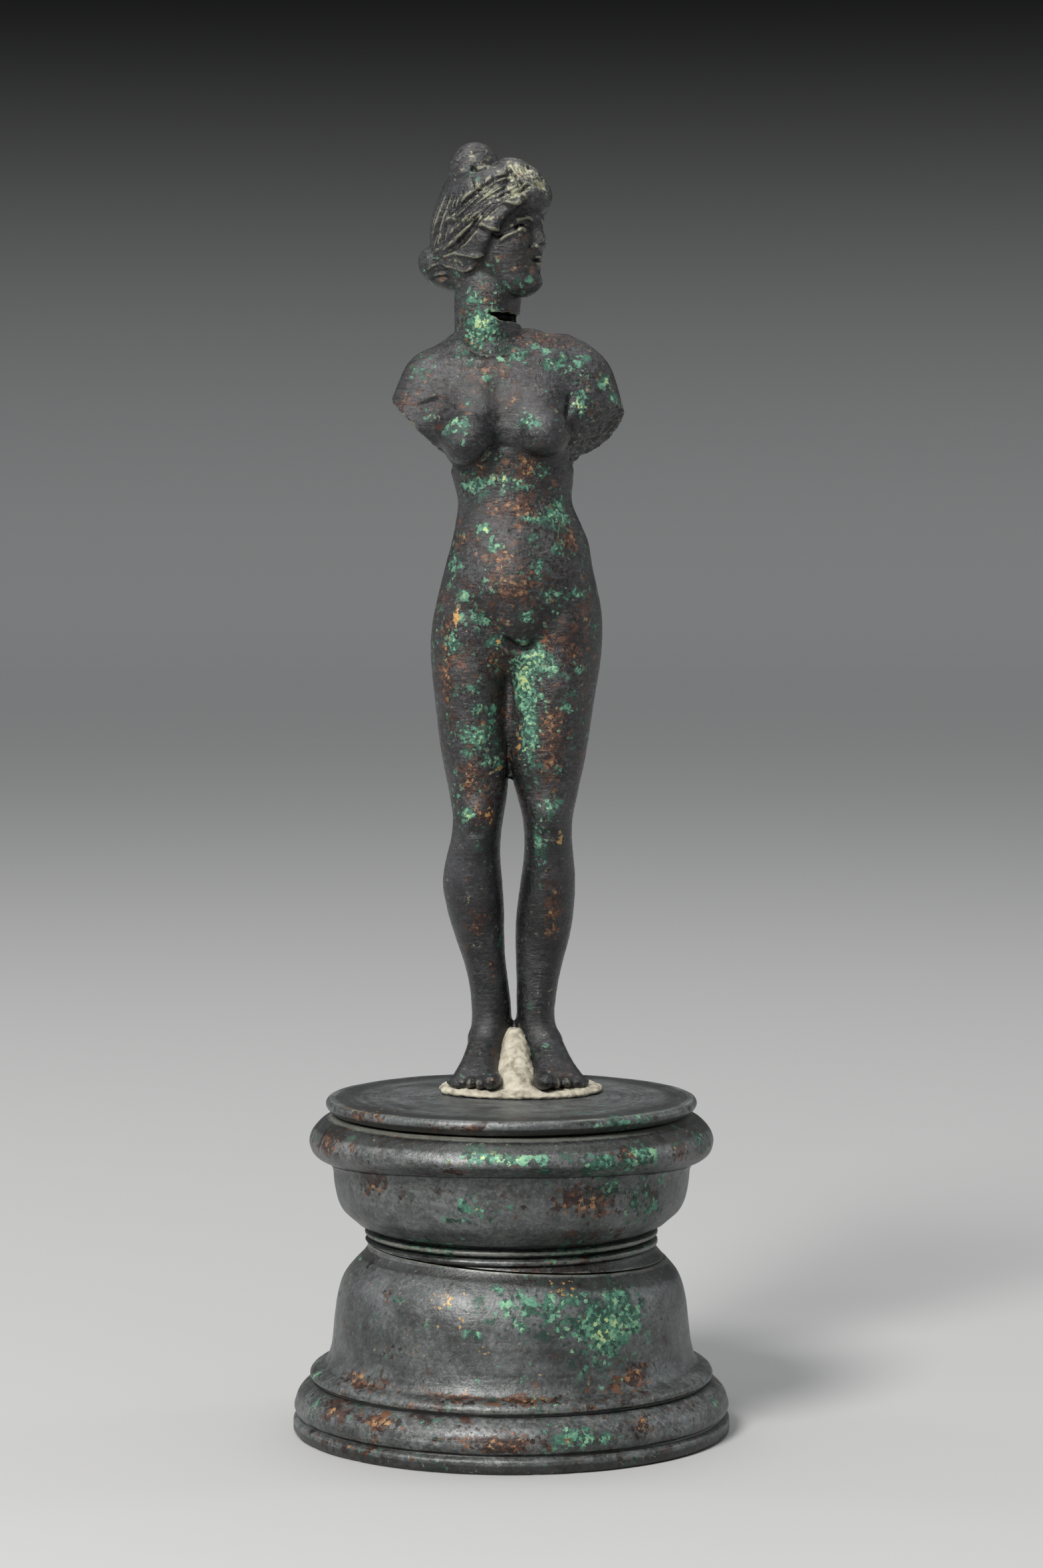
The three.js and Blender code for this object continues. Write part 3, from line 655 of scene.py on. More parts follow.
figure = dict(
    roughVoxel=0.4,
    voxel=0.22,
    mostFaces=192000,
    torsoSides=84,
    legSides=56,
    neckSides=56,
    rows=76,
    torsoPower=2.3,
    legPower=2.1,
    blendPasses=160,
    softPasses=3,
    castRoughness=0.1,
)

# Height, then left, right, front and back of the torso
torsoStations = [
    (117.5, -10.0, 11.0, 5.4, 14.6), (122.0, -12.3, 13.8, 1.6, 16.8), (126.0, -12.4, 14.35, -0.2, 17.2),
    (130.0, -11.5, 13.7, -0.9, 16.8), (134.0, -10.5, 12.75, -0.8, 16.2), (138.0, -9.3, 12.0, 0.0, 15.2),
    (141.0, -8.7, 10.7, 0.7, 14.3), (144.2, -8.35, 9.45, 1.3, 13.9), (147.5, -9.1, 9.6, 1.4, 14.3),
    (151.0, -10.1, 10.0, 0.9, 15.2), (155.0, -11.0, 10.6, 0.3, 16.3), (159.0, -12.4, 11.8, 0.4, 16.8),
    (163.0, -14.4, 13.4, 1.4, 16.6), (166.0, -14.4, 14.2, 2.7, 15.6), (168.6, -12.0, 12.8, 4.4, 14.2),
    (170.4, -9.2, 8.6, 5.8, 12.6),
]

# The figure's right leg, at -X, and its left leg, from the heel's sole to the hip
legFrontBack = [
    (soleHeight, 8.0, 16.2), (56.0, 7.2, 16.7), (60.0, 7.2, 15.9), (64.0, 7.6, 15.0), (68.0, 7.5, 14.7),
    (72.0, 7.0, 14.8), (76.0, 6.3, 15.1), (80.0, 5.5, 15.4), (84.5, 4.7, 15.2), (88.0, 4.0, 14.0),
    (91.5, 3.0, 12.9), (95.0, 2.5, 12.6), (98.5, 2.6, 13.0), (103.0, 2.2, 13.8), (109.0, 1.7, 15.0),
    (115.0, 1.4, 16.6), (121.5, 1.0, 18.0), (126.5, 0.3, 17.6), (131.0, 1.6, 14.6),
]
rightLegSides = [
    (-5.9, -0.8), (-6.4, -0.3), (-6.6, 0.0), (-6.3, 0.0), (-6.65, -0.45), (-7.55, -0.95), (-8.9, -1.15),
    (-10.1, -1.2), (-10.8, -1.45), (-10.35, -1.75), (-9.5, -1.7), (-9.2, -1.25), (-9.7, -0.7), (-10.6, -0.45),
    (-11.6, -0.5), (-12.3, -0.55), (-12.8, -0.5), (-12.2, -1.0), (-9.8, -2.4),
]
leftLegSides = [
    (1.4, 6.3), (1.0, 6.9), (0.7, 7.0), (0.75, 6.8), (0.8, 7.25), (0.7, 8.1), (0.6, 9.15),
    (0.8, 9.75), (1.4, 10.0), (1.85, 9.8), (2.0, 9.45), (1.7, 9.6), (0.8, 10.3), (-0.3, 11.3),
    (-0.75, 12.4), (-0.8, 13.4), (-0.8, 14.3), (0.2, 14.1), (2.6, 12.4),
]
neckStations = [
    (165.0, -8.6, 3.2, 4.0, 14.6), (168.5, -8.9, 2.4, 3.6, 13.6), (172.0, -8.85, 1.35, 3.1, 12.8),
    (176.0, -8.9, 1.6, 2.9, 12.8), (181.0, -8.4, 2.6, 3.4, 13.2),
]

# Soft forms of the torso: place, spread across, up and down, how far it stands proud, and front or back
torsoForms = [
    dict(x=-6.7, z=154.6, wide=3.9, above=6.0, below=3.2, proud=2.6, face=-1),
    dict(x=4.9, z=155.2, wide=3.9, above=6.0, below=3.2, proud=2.6, face=-1),
    dict(x=0.4, z=131.9, wide=4.6, above=5.0, below=4.6, proud=1.7, face=-1),
    dict(x=0.2, z=143.5, wide=3.0, above=6.5, below=5.0, proud=0.5, face=-1),
    dict(x=1.4, z=123.8, wide=3.2, above=3.0, below=2.6, proud=1.2, face=-1),
    dict(x=-4.4, z=126.0, wide=2.0, above=2.6, below=2.6, proud=-0.7, face=-1),
    dict(x=7.0, z=126.6, wide=2.0, above=2.6, below=2.6, proud=-0.7, face=-1),
    dict(x=-5.8, z=123.6, wide=4.8, above=6.5, below=5.4, proud=3.2, face=1),
    dict(x=7.4, z=123.6, wide=4.8, above=6.5, below=5.4, proud=3.2, face=1),
    dict(x=0.8, z=146.0, wide=1.7, above=16.0, below=12.0, proud=-1.1, face=1),
    dict(x=-7.0, z=160.0, wide=3.6, above=5.0, below=5.0, proud=1.1, face=1),
    dict(x=6.0, z=160.4, wide=3.6, above=5.0, below=5.0, proud=1.1, face=1),
]

# Full forms laid on the torso before the joins are softened: centre and radii
torsoLumps = [
    ((-6.5, 1.5, 154.1), (4.7, 4.8, 4.4)),
    ((4.9, 1.6, 155.0), (4.4, 4.6, 4.2)),
    ((-11.2, 7.4, 158.4), (4.4, 5.2, 5.6)),
    ((10.2, 7.2, 158.8), (4.0, 5.0, 5.4)),
    ((2.4, 8.4, 168.0), (4.6, 4.4, 3.2)),
    ((-5.9, 13.2, 122.6), (5.6, 6.4, 6.6)),
    ((7.5, 13.2, 122.6), (5.6, 6.4, 6.6)),
    ((-6.4, 6.2, 117.0), (5.4, 5.6, 9.0)),
    ((7.2, 6.2, 117.0), (5.6, 5.6, 9.0)),
]

# Feet: heel and toe on the ground, half width of the ball, and the side of the big toe
footRight = dict(heel=(-3.3, 16.4), toe=(-6.2, -2.8), ball=4.3, bigToe=1)
footLeft = dict(heel=(3.8, 16.2), toe=(8.4, -2.8), ball=4.6, bigToe=-1)
footShape = [
    (0.0, 0.4, 2.4), (0.05, 0.58, 4.6), (0.14, 0.68, 7.4), (0.28, 0.68, 9.4), (0.42, 0.7, 8.8), (0.56, 0.78, 6.6),
    (0.7, 0.92, 4.4), (0.8, 0.94, 3.1), (0.87, 0.84, 2.2), (0.9, 0.7, 1.4),
]

armRight = dict(shoulder=(-12.2, 8.6, 163.2), elbow=(-15.6, 8.3, 155.0), radius=5.1,
                breakAt=(-14.6, 8.0, 155.9), breakFacing=(-0.72, 0.1, -0.7), bodySide=9.2, lowest=149.0)
armLeft = dict(shoulder=(11.4, 8.4, 163.2), elbow=(13.7, 7.7, 154.9), radius=4.9,
               breakAt=(13.0, 6.6, 154.9), breakFacing=(0.62, -0.38, -0.69), bodySide=9.0, lowest=149.0)

neckCrack = dict(
    outline=[(-4.3, 173.4), (-2.0, 172.4), (3.5, 171.4), (3.5, 172.7), (-1.2, 173.5)],
    front=1.0,
    depth=9.0,
)

# Head: turned about the neck, chin and crown heights, and how far the hair covers it
headSetup = dict(
    centre=(-2.8, 8.0),
    chin=176.2,
    height=19.76,
    turn=62.0,
    columns=120,
    rows=96,
    browEdge=0.75,
    napeEdge=0.1,
    hairThickness=1.3,
    hairRoll=0.8,
)
skullStations = [
    (-0.02, 4.0, 1.8, 2.4, 1.4), (0.015, 3.6, 3.4, 6.0, 2.7), (0.07, 2.8, 4.8, 9.0, 3.7), (0.16, 1.6, 6.2, 10.2, 4.6),
    (0.28, 0.8, 7.0, 10.2, 5.3), (0.42, 0.3, 7.6, 9.6, 5.8), (0.55, 0.0, 7.9, 9.3, 6.0), (0.68, 0.0, 8.1, 8.5, 6.0),
    (0.8, 0.0, 7.4, 7.4, 5.7), (0.91, 0.0, 5.8, 6.2, 4.9), (1.0, -0.2, 3.2, 3.8, 3.0),
]


def stationsAt(stations, heights):
    # Smooth values between the stations that are given
    table = np.array(stations, float)
    knots, values = table[:, 0], table[:, 1:]
    slopes = np.gradient(values, knots, axis=0)
    heights = np.clip(heights, knots[0], knots[-1])
    i = np.clip(np.searchsorted(knots, heights) - 1, 0, len(knots) - 2)
    span = knots[i + 1] - knots[i]
    t = ((heights - knots[i]) / span)[:, None]
    span = span[:, None]
    return ((2 * t ** 3 - 3 * t ** 2 + 1) * values[i] + (t ** 3 - 2 * t ** 2 + t) * span * slopes[i]
            + (3 * t ** 2 - 2 * t ** 3) * values[i + 1] + (t ** 3 - t ** 2) * span * slopes[i + 1])


def smoothStep(value, low, high):
    t = np.clip((value - low) / (high - low), 0, 1)
    return t * t * (3 - 2 * t)


def bump(offset, spread):
    return np.exp(-(offset / spread) ** 2)


def loftBody(name, stations, rows, sides, power=2.0):
    # A ring drawn upwards, level by level, and set to each level's width and depth
    heights = np.linspace(stations[0][0], stations[-1][0], rows)
    sizes = stationsAt(stations, heights)
    centres = [Vector(((s[0] + s[1]) / 2, (s[2] + s[3]) / 2, z)) for s, z in zip(sizes, heights)]
    halves = [((s[1] - s[0]) / 2, (s[3] - s[2]) / 2) for s in sizes]
    bpy.ops.object.select_all(action="DESELECT")
    bpy.ops.mesh.primitive_circle_add(vertices=sides, radius=1, fill_type="NGON", location=centres[0])
    piece = bpy.context.object
    piece.name = name
    bpy.ops.object.mode_set(mode="EDIT")
    bpy.ops.mesh.select_all(action="SELECT")
    bpy.ops.transform.resize(value=(halves[0][0], halves[0][1], 1), center_override=centres[0])
    for row in range(1, rows):
        bpy.ops.mesh.extrude_region_move(TRANSFORM_OT_translate={"value": centres[row] - centres[row - 1]})
        grow = (halves[row][0] / halves[row - 1][0], halves[row][1] / halves[row - 1][1], 1)
        bpy.ops.transform.resize(value=grow, center_override=centres[row])
    bpy.ops.mesh.select_all(action="SELECT")
    bpy.ops.mesh.normals_make_consistent(inside=False)
    bpy.ops.object.mode_set(mode="OBJECT")
    bpy.ops.object.transform_apply(location=True, rotation=True, scale=True)
    if power != 2.0:
        # Squarer ovals
        points = readPoints(piece)
        left, right, front, back = stationsAt(stations, points[:, 2]).T
        across = (points[:, 0] - (left + right) / 2) / ((right - left) / 2)
        along = (points[:, 1] - (front + back) / 2) / ((back - front) / 2)
        reach = np.hypot(across, along)
        angle = np.arctan2(along, across)
        cos, sin = np.cos(angle), np.sin(angle)
        points[:, 0] = (left + right) / 2 + (right - left) / 2 * reach * np.sign(cos) * np.abs(cos) ** (2 / power)
        points[:, 1] = (front + back) / 2 + (back - front) / 2 * reach * np.sign(sin) * np.abs(sin) ** (2 / power)
        writePoints(piece, points)
    return piece


def torsoBody():
    piece = loftBody("torso", torsoStations, figure["rows"], figure["torsoSides"], figure["torsoPower"])
    points = readPoints(piece)
    x, y, z = points.T
    _, _, front, back = stationsAt(torsoStations, z).T
    facing = (y - (front + back) / 2) / ((back - front) / 2)
    moved = np.zeros(len(points))
    for form in torsoForms:
        weight = smoothStep(facing * form["face"], 0.05, 0.6)
        tall = np.where(z > form["z"], form["above"], form["below"])
        moved += form["face"] * weight * form["proud"] * bump(x - form["x"], form["wide"]) * bump(z - form["z"], tall)
    points[:, 1] += moved
    writePoints(piece, points)
    return piece


def legBody(name, sides):
    stations = [(z, left, right, front, back) for (z, front, back), (left, right) in zip(legFrontBack, sides)]
    return loftBody(name, stations, figure["rows"], figure["legSides"], figure["legPower"])


def lump(name, centre, radii, turn=0.0, segments=32):
    bpy.ops.object.select_all(action="DESELECT")
    bpy.ops.mesh.primitive_uv_sphere_add(segments=segments, ring_count=segments // 2, radius=1)
    piece = bpy.context.object
    piece.name = name
    piece.scale = radii
    piece.rotation_euler = (0, 0, turn)
    piece.location = centre
    bpy.ops.object.transform_apply(location=True, rotation=True, scale=True)
    return piece


def footBodies(name, foot):
    # The foot is drawn standing on its heel, then laid down along its own line
    heel = Vector((*foot["heel"], soleHeight))
    toe = Vector((*foot["toe"], soleHeight))
    along = (toe - heel).normalized()
    length = (toe - heel).length
    stations = [(share * length, -width * foot["ball"], width * foot["ball"], -tall, tall * 0.6)
                for share, width, tall in footShape]
    body = loftBody(name, stations, 40, 40, 2.2)
    body.matrix_world = Matrix.Translation(heel) @ Matrix((
        (-along.y, 0, along.x, 0),
        (along.x, 0, along.y, 0),
        (0, -1, 0, 0),
        (0, 0, 0, 1),
    ))
    bpy.ops.object.select_all(action="DESELECT")
    body.select_set(True)
    bpy.context.view_layer.objects.active = body
    bpy.ops.object.transform_apply(location=True, rotation=True, scale=True)
    cutAway(body, (0, 0, soleHeight), (0, 0, -1))
    toes = []
    across = Vector((-along.y, along.x, 0)) * foot["bigToe"]
    turn = math.atan2(along.y, along.x) - math.pi / 2
    for index in range(5):
        share = index / 4
        size = 1.75 if index == 0 else 1.3 - 0.09 * index
        place = toe + across * foot["ball"] * (0.7 - 1.6 * share) - along * (1.5 + 3.4 * share * share)
        place.z = soleHeight + size * 0.8
        toes.append(lump(name + "Toe", place, (size * 0.86, size * 1.6, size * 0.85), turn, 24))
    return body, toes


def upperArm(name, arm):
    # A capsule from the shoulder down
    shoulder, elbow = Vector(arm["shoulder"]), Vector(arm["elbow"])
    along = elbow - shoulder
    piece = lump(name, (0, 0, 0), (arm["radius"],) * 3, 0, 40)
    points = readPoints(piece)
    points[points[:, 2] < -0.01, 2] -= along.length
    writePoints(piece, points)
    piece.rotation_euler = Vector((0, 0, -1)).rotation_difference(along).to_euler()
    piece.location = shoulder
    bpy.ops.object.transform_apply(location=True, rotation=True, scale=True)
    return piece


def breakArm(points, arm):
    # What lies past the break is pushed back onto it, so that the stump ends in one slanted face
    facing = np.array(Vector(arm["breakFacing"]).normalized())
    along = np.array((Vector(arm["elbow"]) - Vector(arm["shoulder"])).normalized())
    side = 1 if arm["shoulder"][0] > 0 else -1
    past = (points - np.array(arm["breakAt"])) @ facing
    out = points[:, 0] * side
    hit = np.nonzero((past > 0) & (out > arm["bodySide"]) & (points[:, 2] > arm["lowest"]))[0]
    points[hit] -= along * (past[hit] / (along @ facing))[:, None]


def cutCrack(piece):
    # An open crack on the left side of the neck, with ragged lips
    crack = neckCrack
    bpy.ops.object.select_all(action="DESELECT")
    bpy.ops.mesh.primitive_plane_add(size=1)
    wedge = bpy.context.object
    wedge.name = "crackWedge"
    bpy.ops.object.mode_set(mode="EDIT")
    bpy.ops.mesh.select_all(action="SELECT")
    bpy.ops.mesh.merge(type="CENTER")
    first = crack["outline"][0]
    bpy.ops.transform.translate(value=(first[0], crack["front"], first[1]))
    last = first
    for point in crack["outline"][1:]:
        bpy.ops.mesh.extrude_vertices_move(
            TRANSFORM_OT_translate={"value": (point[0] - last[0], 0, point[1] - last[1])})
        last = point
    bpy.ops.mesh.select_all(action="SELECT")
    bpy.ops.mesh.edge_face_add()
    bpy.ops.mesh.extrude_region_move(TRANSFORM_OT_translate={"value": (0, crack["depth"], 0)})
    bpy.ops.mesh.select_all(action="SELECT")
    bpy.ops.mesh.subdivide(number_cuts=5, fractal=0.35, seed=4)
    bpy.ops.mesh.normals_make_consistent(inside=False)
    bpy.ops.object.mode_set(mode="OBJECT")
    useModifier(piece, "BOOLEAN", object=wedge, operation="DIFFERENCE", solver="EXACT")
    bpy.data.objects.remove(wedge)


# Forms of a plain classical face: height and angle from the front, spreads, and how far it stands proud
faceForms = [
    dict(up=0.375, angle=0.15, tall=0.022, wide=0.06, proud=0.5),
    dict(up=0.375, angle=-0.15, tall=0.022, wide=0.06, proud=0.5),
    dict(up=0.58, angle=0.0, tall=0.05, wide=0.5, proud=0.45),
    dict(up=0.505, angle=0.36, tall=0.05, wide=0.19, proud=-1.0),
    dict(up=0.505, angle=-0.36, tall=0.05, wide=0.19, proud=-1.0),
    dict(up=0.498, angle=0.39, tall=0.026, wide=0.12, proud=0.65),
    dict(up=0.498, angle=-0.39, tall=0.026, wide=0.12, proud=0.65),
    dict(up=0.36, angle=0.62, tall=0.1, wide=0.3, proud=0.35),
    dict(up=0.36, angle=-0.62, tall=0.1, wide=0.3, proud=0.35),
    dict(up=0.29, angle=0.0, tall=0.02, wide=0.22, proud=0.75),
    dict(up=0.24, angle=0.0, tall=0.022, wide=0.17, proud=0.7),
    dict(up=0.19, angle=0.0, tall=0.03, wide=0.3, proud=-0.35),
    dict(up=0.08, angle=0.0, tall=0.07, wide=0.35, proud=0.8),
]


# Ridge of the nose: height, how far it stands proud, and half its width round the face
noseRidge = [
    (0.33, 0.0, 0.16), (0.365, 0.8, 0.17), (0.395, 1.5, 0.16), (0.43, 1.45, 0.13), (0.49, 1.0, 0.1),
    (0.55, 0.6, 0.1), (0.62, 0.0, 0.14),
]


def headToWorld(points):
    turn = math.radians(headSetup["turn"])
    cos, sin = math.cos(turn), math.sin(turn)
    x, y, z = points.T
    centre = headSetup["centre"]
    return np.stack([centre[0] + x * cos - y * sin, centre[1] + x * sin + y * cos, headSetup["chin"] + z], 1)


def headBody():
    # Skull, face and hair as one skin round an upright axis, the face towards -Y before it is turned
    h = headSetup
    stations = [(up * h["height"], -half, half, -centre - front, back - centre)
                for up, centre, front, back, half in skullStations]
    piece = loftBody("head", stations, h["rows"], h["columns"])
    points = readPoints(piece)
    sizes = stationsAt(stations, points[:, 2])
    across = points[:, 0] / sizes[:, 1]
    middle = (sizes[:, 2] + sizes[:, 3]) / 2
    along = (points[:, 1] - middle) / ((sizes[:, 3] - sizes[:, 2]) / 2)
    reach = np.hypot(across, along)
    angle = np.arctan2(across, -along)
    up = points[:, 2] / h["height"]
    centre, front, back, half = stationsAt(skullStations, up).T
    relief = np.zeros(len(points))
    for form in faceForms:
        relief += form["proud"] * bump(up - form["up"], form["tall"]) * bump(angle - form["angle"], form["wide"])
    proud, wide = stationsAt(noseRidge, up).T
    relief += proud * bump(angle, wide) * (up > noseRidge[0][0]) * (up < noseRidge[-1][0])
    round_ = smoothStep(np.abs(angle), 0.35, 2.2)
    edge = h["browEdge"] + (h["napeEdge"] - h["browEdge"]) * round_
    cover = smoothStep(up, edge - 0.05, edge + 0.02)
    relief += cover * (h["hairThickness"] + h["hairRoll"] * bump(up - edge - 0.06, 0.07) * (1 - round_))
    cos = np.cos(angle)
    depth = np.where(cos > 0, front, back) + relief
    points[:, 0] = np.sin(angle) * (half + relief * 0.9) * reach
    points[:, 1] = -(centre + cos * depth * reach)
    writePoints(piece, headToWorld(points))
    return piece


def hairKnots():
    # Lobes of the knot on the crown, the full hair below them, and the roll at the nape:
    # forward, towards the figure's right, height, radii across, along and up, and forward tilt
    forms = [
        ("knotBack", (-3.0, 0.6, 195.3), (4.3, 4.1, 4.7), 0),
        ("knotBase", (-4.1, 0.4, 191.4), (4.8, 4.1, 4.8), 0),
        ("knotFront", (5.2, 0.2, 193.0), (4.3, 5.6, 3.3), 42),
        ("sideHair", (-0.6, 3.6, 192.2), (3.2, 3.6, 3.0), 0),
        ("napeRoll", (-7.9, 0.3, 180.7), (4.6, 5.0, 3.5), 24),
    ]
    turn = math.radians(headSetup["turn"])
    pieces = []
    for name, (forward, aside, z), radii, tilt in forms:
        place = headToWorld(np.array([[-aside, -forward, 0.0]]))[0]
        piece = lump(name, (0, 0, 0), radii)
        piece.rotation_euler = (math.radians(tilt), 0, turn)
        piece.location = (place[0], place[1], z)
        bpy.ops.object.transform_apply(location=True, rotation=True, scale=True)
        pieces.append(piece)
    return pieces


# Sculpting: paths are laid on the skin and pressed in or raised along it

class Clay:
    def __init__(self, piece):
        self.piece = piece
        self.points = readPoints(piece)
        self.refresh()

    def refresh(self):
        writePoints(self.piece, self.points)
        self.normals = readNormals(self.piece)
        faces = [tuple(f.vertices) for f in self.piece.data.polygons]
        self.tree = BVHTree.FromPolygons([tuple(p) for p in self.points], faces)

    def touch(self, start, heading):
        hit = self.tree.ray_cast(Vector(start), Vector(heading).normalized())[0]
        return None if hit is None else np.array(hit)

    def fromFront(self, path):
        return self.lay([((x, -60, z), (0, 1, 0)) for x, z in path])

    def fromBack(self, path):
        return self.lay([((x, 60, z), (0, -1, 0)) for x, z in path])

    def fromSide(self, path, side):
        return self.lay([((side * 60, y, z), (-side, 0, 0)) for y, z in path])

    def onHead(self, path):
        # Path of angle from the face in radians and height as a share of the head
        rays = []
        for angle, up in path:
            local = np.array([[0, 0, up * headSetup["height"]], [math.sin(angle), -math.cos(angle),
                                                                up * headSetup["height"]]])
            inner, outer = headToWorld(local)
            heading = inner - outer
            rays.append((inner - heading * 40, heading))
        return self.lay(rays)

    def lay(self, rays):
        return [hit for hit in (self.touch(start, heading) for start, heading in rays) if hit is not None]

    def stroke(self, path, width, depth, fade=0.2, smooth=True):
        # Raised where depth is above zero, pressed in where it is below
        if len(path) < 2:
            return
        if smooth and len(path) > 2:
            path = curveThrough(path, 4 * (len(path) - 1))
        path = np.array(path)
        low, high = path.min(0) - 3 * width, path.max(0) + 3 * width
        near = np.nonzero(np.all((self.points > low) & (self.points < high), axis=1))[0]
        if not len(near):
            return
        spots = self.points[near]
        away = np.full(len(near), 1e9)
        share = np.zeros(len(near))
        lengths = np.linalg.norm(np.diff(path, axis=0), axis=1)
        total, done = lengths.sum(), 0.0
        for start, step, length in zip(path[:-1], np.diff(path, axis=0), lengths):
            t = np.clip(((spots - start) @ step) / max(length * length, 1e-9), 0, 1)
            distance = np.linalg.norm(spots - start - t[:, None] * step, axis=1)
            closer = distance < away
            away[closer] = distance[closer]
            share[closer] = (done + t[closer] * length) / total
            done += length
        ends = smoothStep(np.minimum(share, 1 - share), -0.02, fade) if fade else 1.0
        self.points[near] += self.normals[near] * (depth * bump(away, width) * ends)[:, None]

    def dab(self, spot, width, depth):
        if spot is None:
            return
        away = np.linalg.norm(self.points - np.array(spot), axis=1)
        near = away < 3 * width
        self.points[near] += self.normals[near] * (depth * bump(away[near], width))[:, None]

    def comb(self, lay, first, last, count, width, depth, seed, wave=0.0):
        # Strands between two guide lines, each a little different
        draw = random.Random(seed)
        first, last = np.array(first, float), np.array(last, float)
        for index in range(count):
            share = (index + draw.uniform(-0.25, 0.25)) / max(count - 1, 1)
            path = first + (last - first) * share
            if wave:
                phase = draw.uniform(0, math.tau)
                ripple = [math.sin(phase + 2.2 * k) * wave for k in range(len(path))]
                path = path + np.stack([np.zeros(len(path)), ripple], 1)
            self.stroke(lay([tuple(p) for p in path]), width * draw.uniform(0.8, 1.2), depth * draw.uniform(0.6, 1.3))


def writeAttribute(piece, name, values):
    attribute = piece.data.attributes.new(name, "FLOAT", "POINT")
    attribute.data.foreach_set("value", values.astype(np.float32))


def paintSpots(piece, spots, busyByHeight):
    # Patches of patina, and on the figure a few of painted shade and painted highlight, each laid on the front where it
    # is seen, that fade outwards
    clay = Clay(piece)
    points = clay.points
    for name, marks in spots.items():
        amount = np.zeros(len(points))
        for x, z, wide, tall, strength in marks:
            hits = clay.fromFront([(x, z)])
            if hits:
                away = (points - hits[0]) / (wide, max(wide, 2.0), tall)
                amount += strength * np.exp(-(away ** 2).sum(1))
        writeAttribute(piece, name, amount)
    heights, values = np.array(busyByHeight, float).T
    writeAttribute(piece, "busy", np.interp(points[:, 2], heights, values))


def sculptBody(clay):
    front = clay.fromFront
    strokes = [
        ([(-9.6, 150.6), (-8.4, 149.6), (-6.6, 149.3), (-5.0, 150.2), (-3.6, 151.8), (-2.2, 152.6), (-0.6, 152.6),
          (1.0, 152.0)], 0.65, -0.6),
        ([(0.4, 152.2), (2.5, 151.3), (5.2, 150.9), (7.4, 151.9)], 1.1, -0.3),
        ([(-2.4, 163.5), (-1.8, 159.5), (-1.4, 155.5)], 1.5, -0.4),
        ([(9.2, 161.4), (8.9, 158.4), (8.7, 154.8)], 0.7, -0.6),
        ([(-12.4, 160.4), (-11.4, 157.4)], 2.4, -0.4),
        ([(-9.2, 169.9), (-6.8, 168.1), (-4.4, 166.9), (-1.6, 167.1), (1.2, 167.9)], 0.5, -0.4),
        ([(-3.6, 165.3), (-7.0, 165.9), (-11.5, 166.5)], 1.1, 0.3),
        ([(0.5, 165.5), (4.0, 166.3), (9.0, 166.8)], 1.1, 0.3),
        ([(-8.4, 128.6), (-6.4, 127.0), (-4.2, 125.4), (-2.2, 123.8), (-0.6, 122.4)], 1.7, -0.4),
        ([(-1.6, 123.3), (-0.6, 122.3), (0.4, 121.6), (1.8, 121.1), (3.2, 121.7), (4.2, 122.9)], 0.8, -0.9),
        ([(3.2, 121.7), (4.6, 123.3), (6.2, 125.5), (7.6, 127.4), (8.8, 128.8)], 1.7, -0.4),
        ([(-0.5, 139.6), (0.4, 139.9), (1.3, 139.6)], 0.45, -0.25),
        ([(-6.8, 93.3), (-5.6, 92.9), (-4.4, 93.3)], 0.8, -0.3),
        ([(7.2, 93.0), (6.0, 92.6), (4.8, 93.0)], 0.8, -0.3),
    ]
    for path, width, depth in strokes:
        clay.stroke(front(path), width, depth)
    for spot, width, depth in (
        ((-5.3, 96.2), 1.9, 0.45), ((5.5, 96.0), 1.9, 0.45), ((-7.2, 99.0), 1.0, -0.2), ((7.6, 98.8), 1.0, -0.2),
        ((0.4, 137.8), 2.2, 0.35),
    ):
        clay.dab(front([spot])[0], width, depth)
    back = clay.fromBack
    for path, width, depth in (
        ([(-2.0, 166.0), (-0.6, 156.0), (0.5, 144.0), (0.9, 133.0)], 1.2, -0.6),
        ([(0.9, 130.5), (0.8, 124.0), (0.6, 117.0), (0.2, 112.0)], 0.8, -1.3),
        ([(-0.6, 114.6), (-4.0, 113.0), (-8.0, 113.6), (-11.0, 115.8)], 0.9, -0.6),
        ([(1.8, 114.6), (5.4, 113.0), (9.4, 113.6), (12.4, 115.8)], 0.9, -0.6),
        ([(-9.4, 163.8), (-8.2, 159.8), (-5.2, 156.6)], 1.5, 0.6),
        ([(8.6, 164.0), (7.6, 160.0), (5.0, 156.8)], 1.5, 0.6),
        ([(-8.4, 92.6), (-5.4, 91.8), (-2.6, 92.4)], 0.7, -0.35),
        ([(2.6, 92.2), (5.6, 91.6), (8.6, 92.4)], 0.7, -0.35),
        ([(-6.0, 88.0), (-5.8, 82.0), (-5.2, 76.0)], 0.9, -0.3),
        ([(5.8, 88.0), (5.6, 82.0), (5.2, 76.0)], 0.9, -0.3),
        ([(-5.3, 69.0), (-4.6, 62.0), (-4.2, 57.0)], 0.9, -0.35),
        ([(5.5, 69.0), (5.0, 62.0), (4.6, 57.0)], 0.9, -0.35),
    ):
        clay.stroke(back(path), width, depth)
    for side, spots in ((-1, ((12.0, 59.6), (10.6, 60.2))), (1, ((12.0, 59.4), (10.6, 60.0)))):
        for spot in spots:
            clay.dab(clay.fromSide([spot], side)[0], 1.2, 0.25)


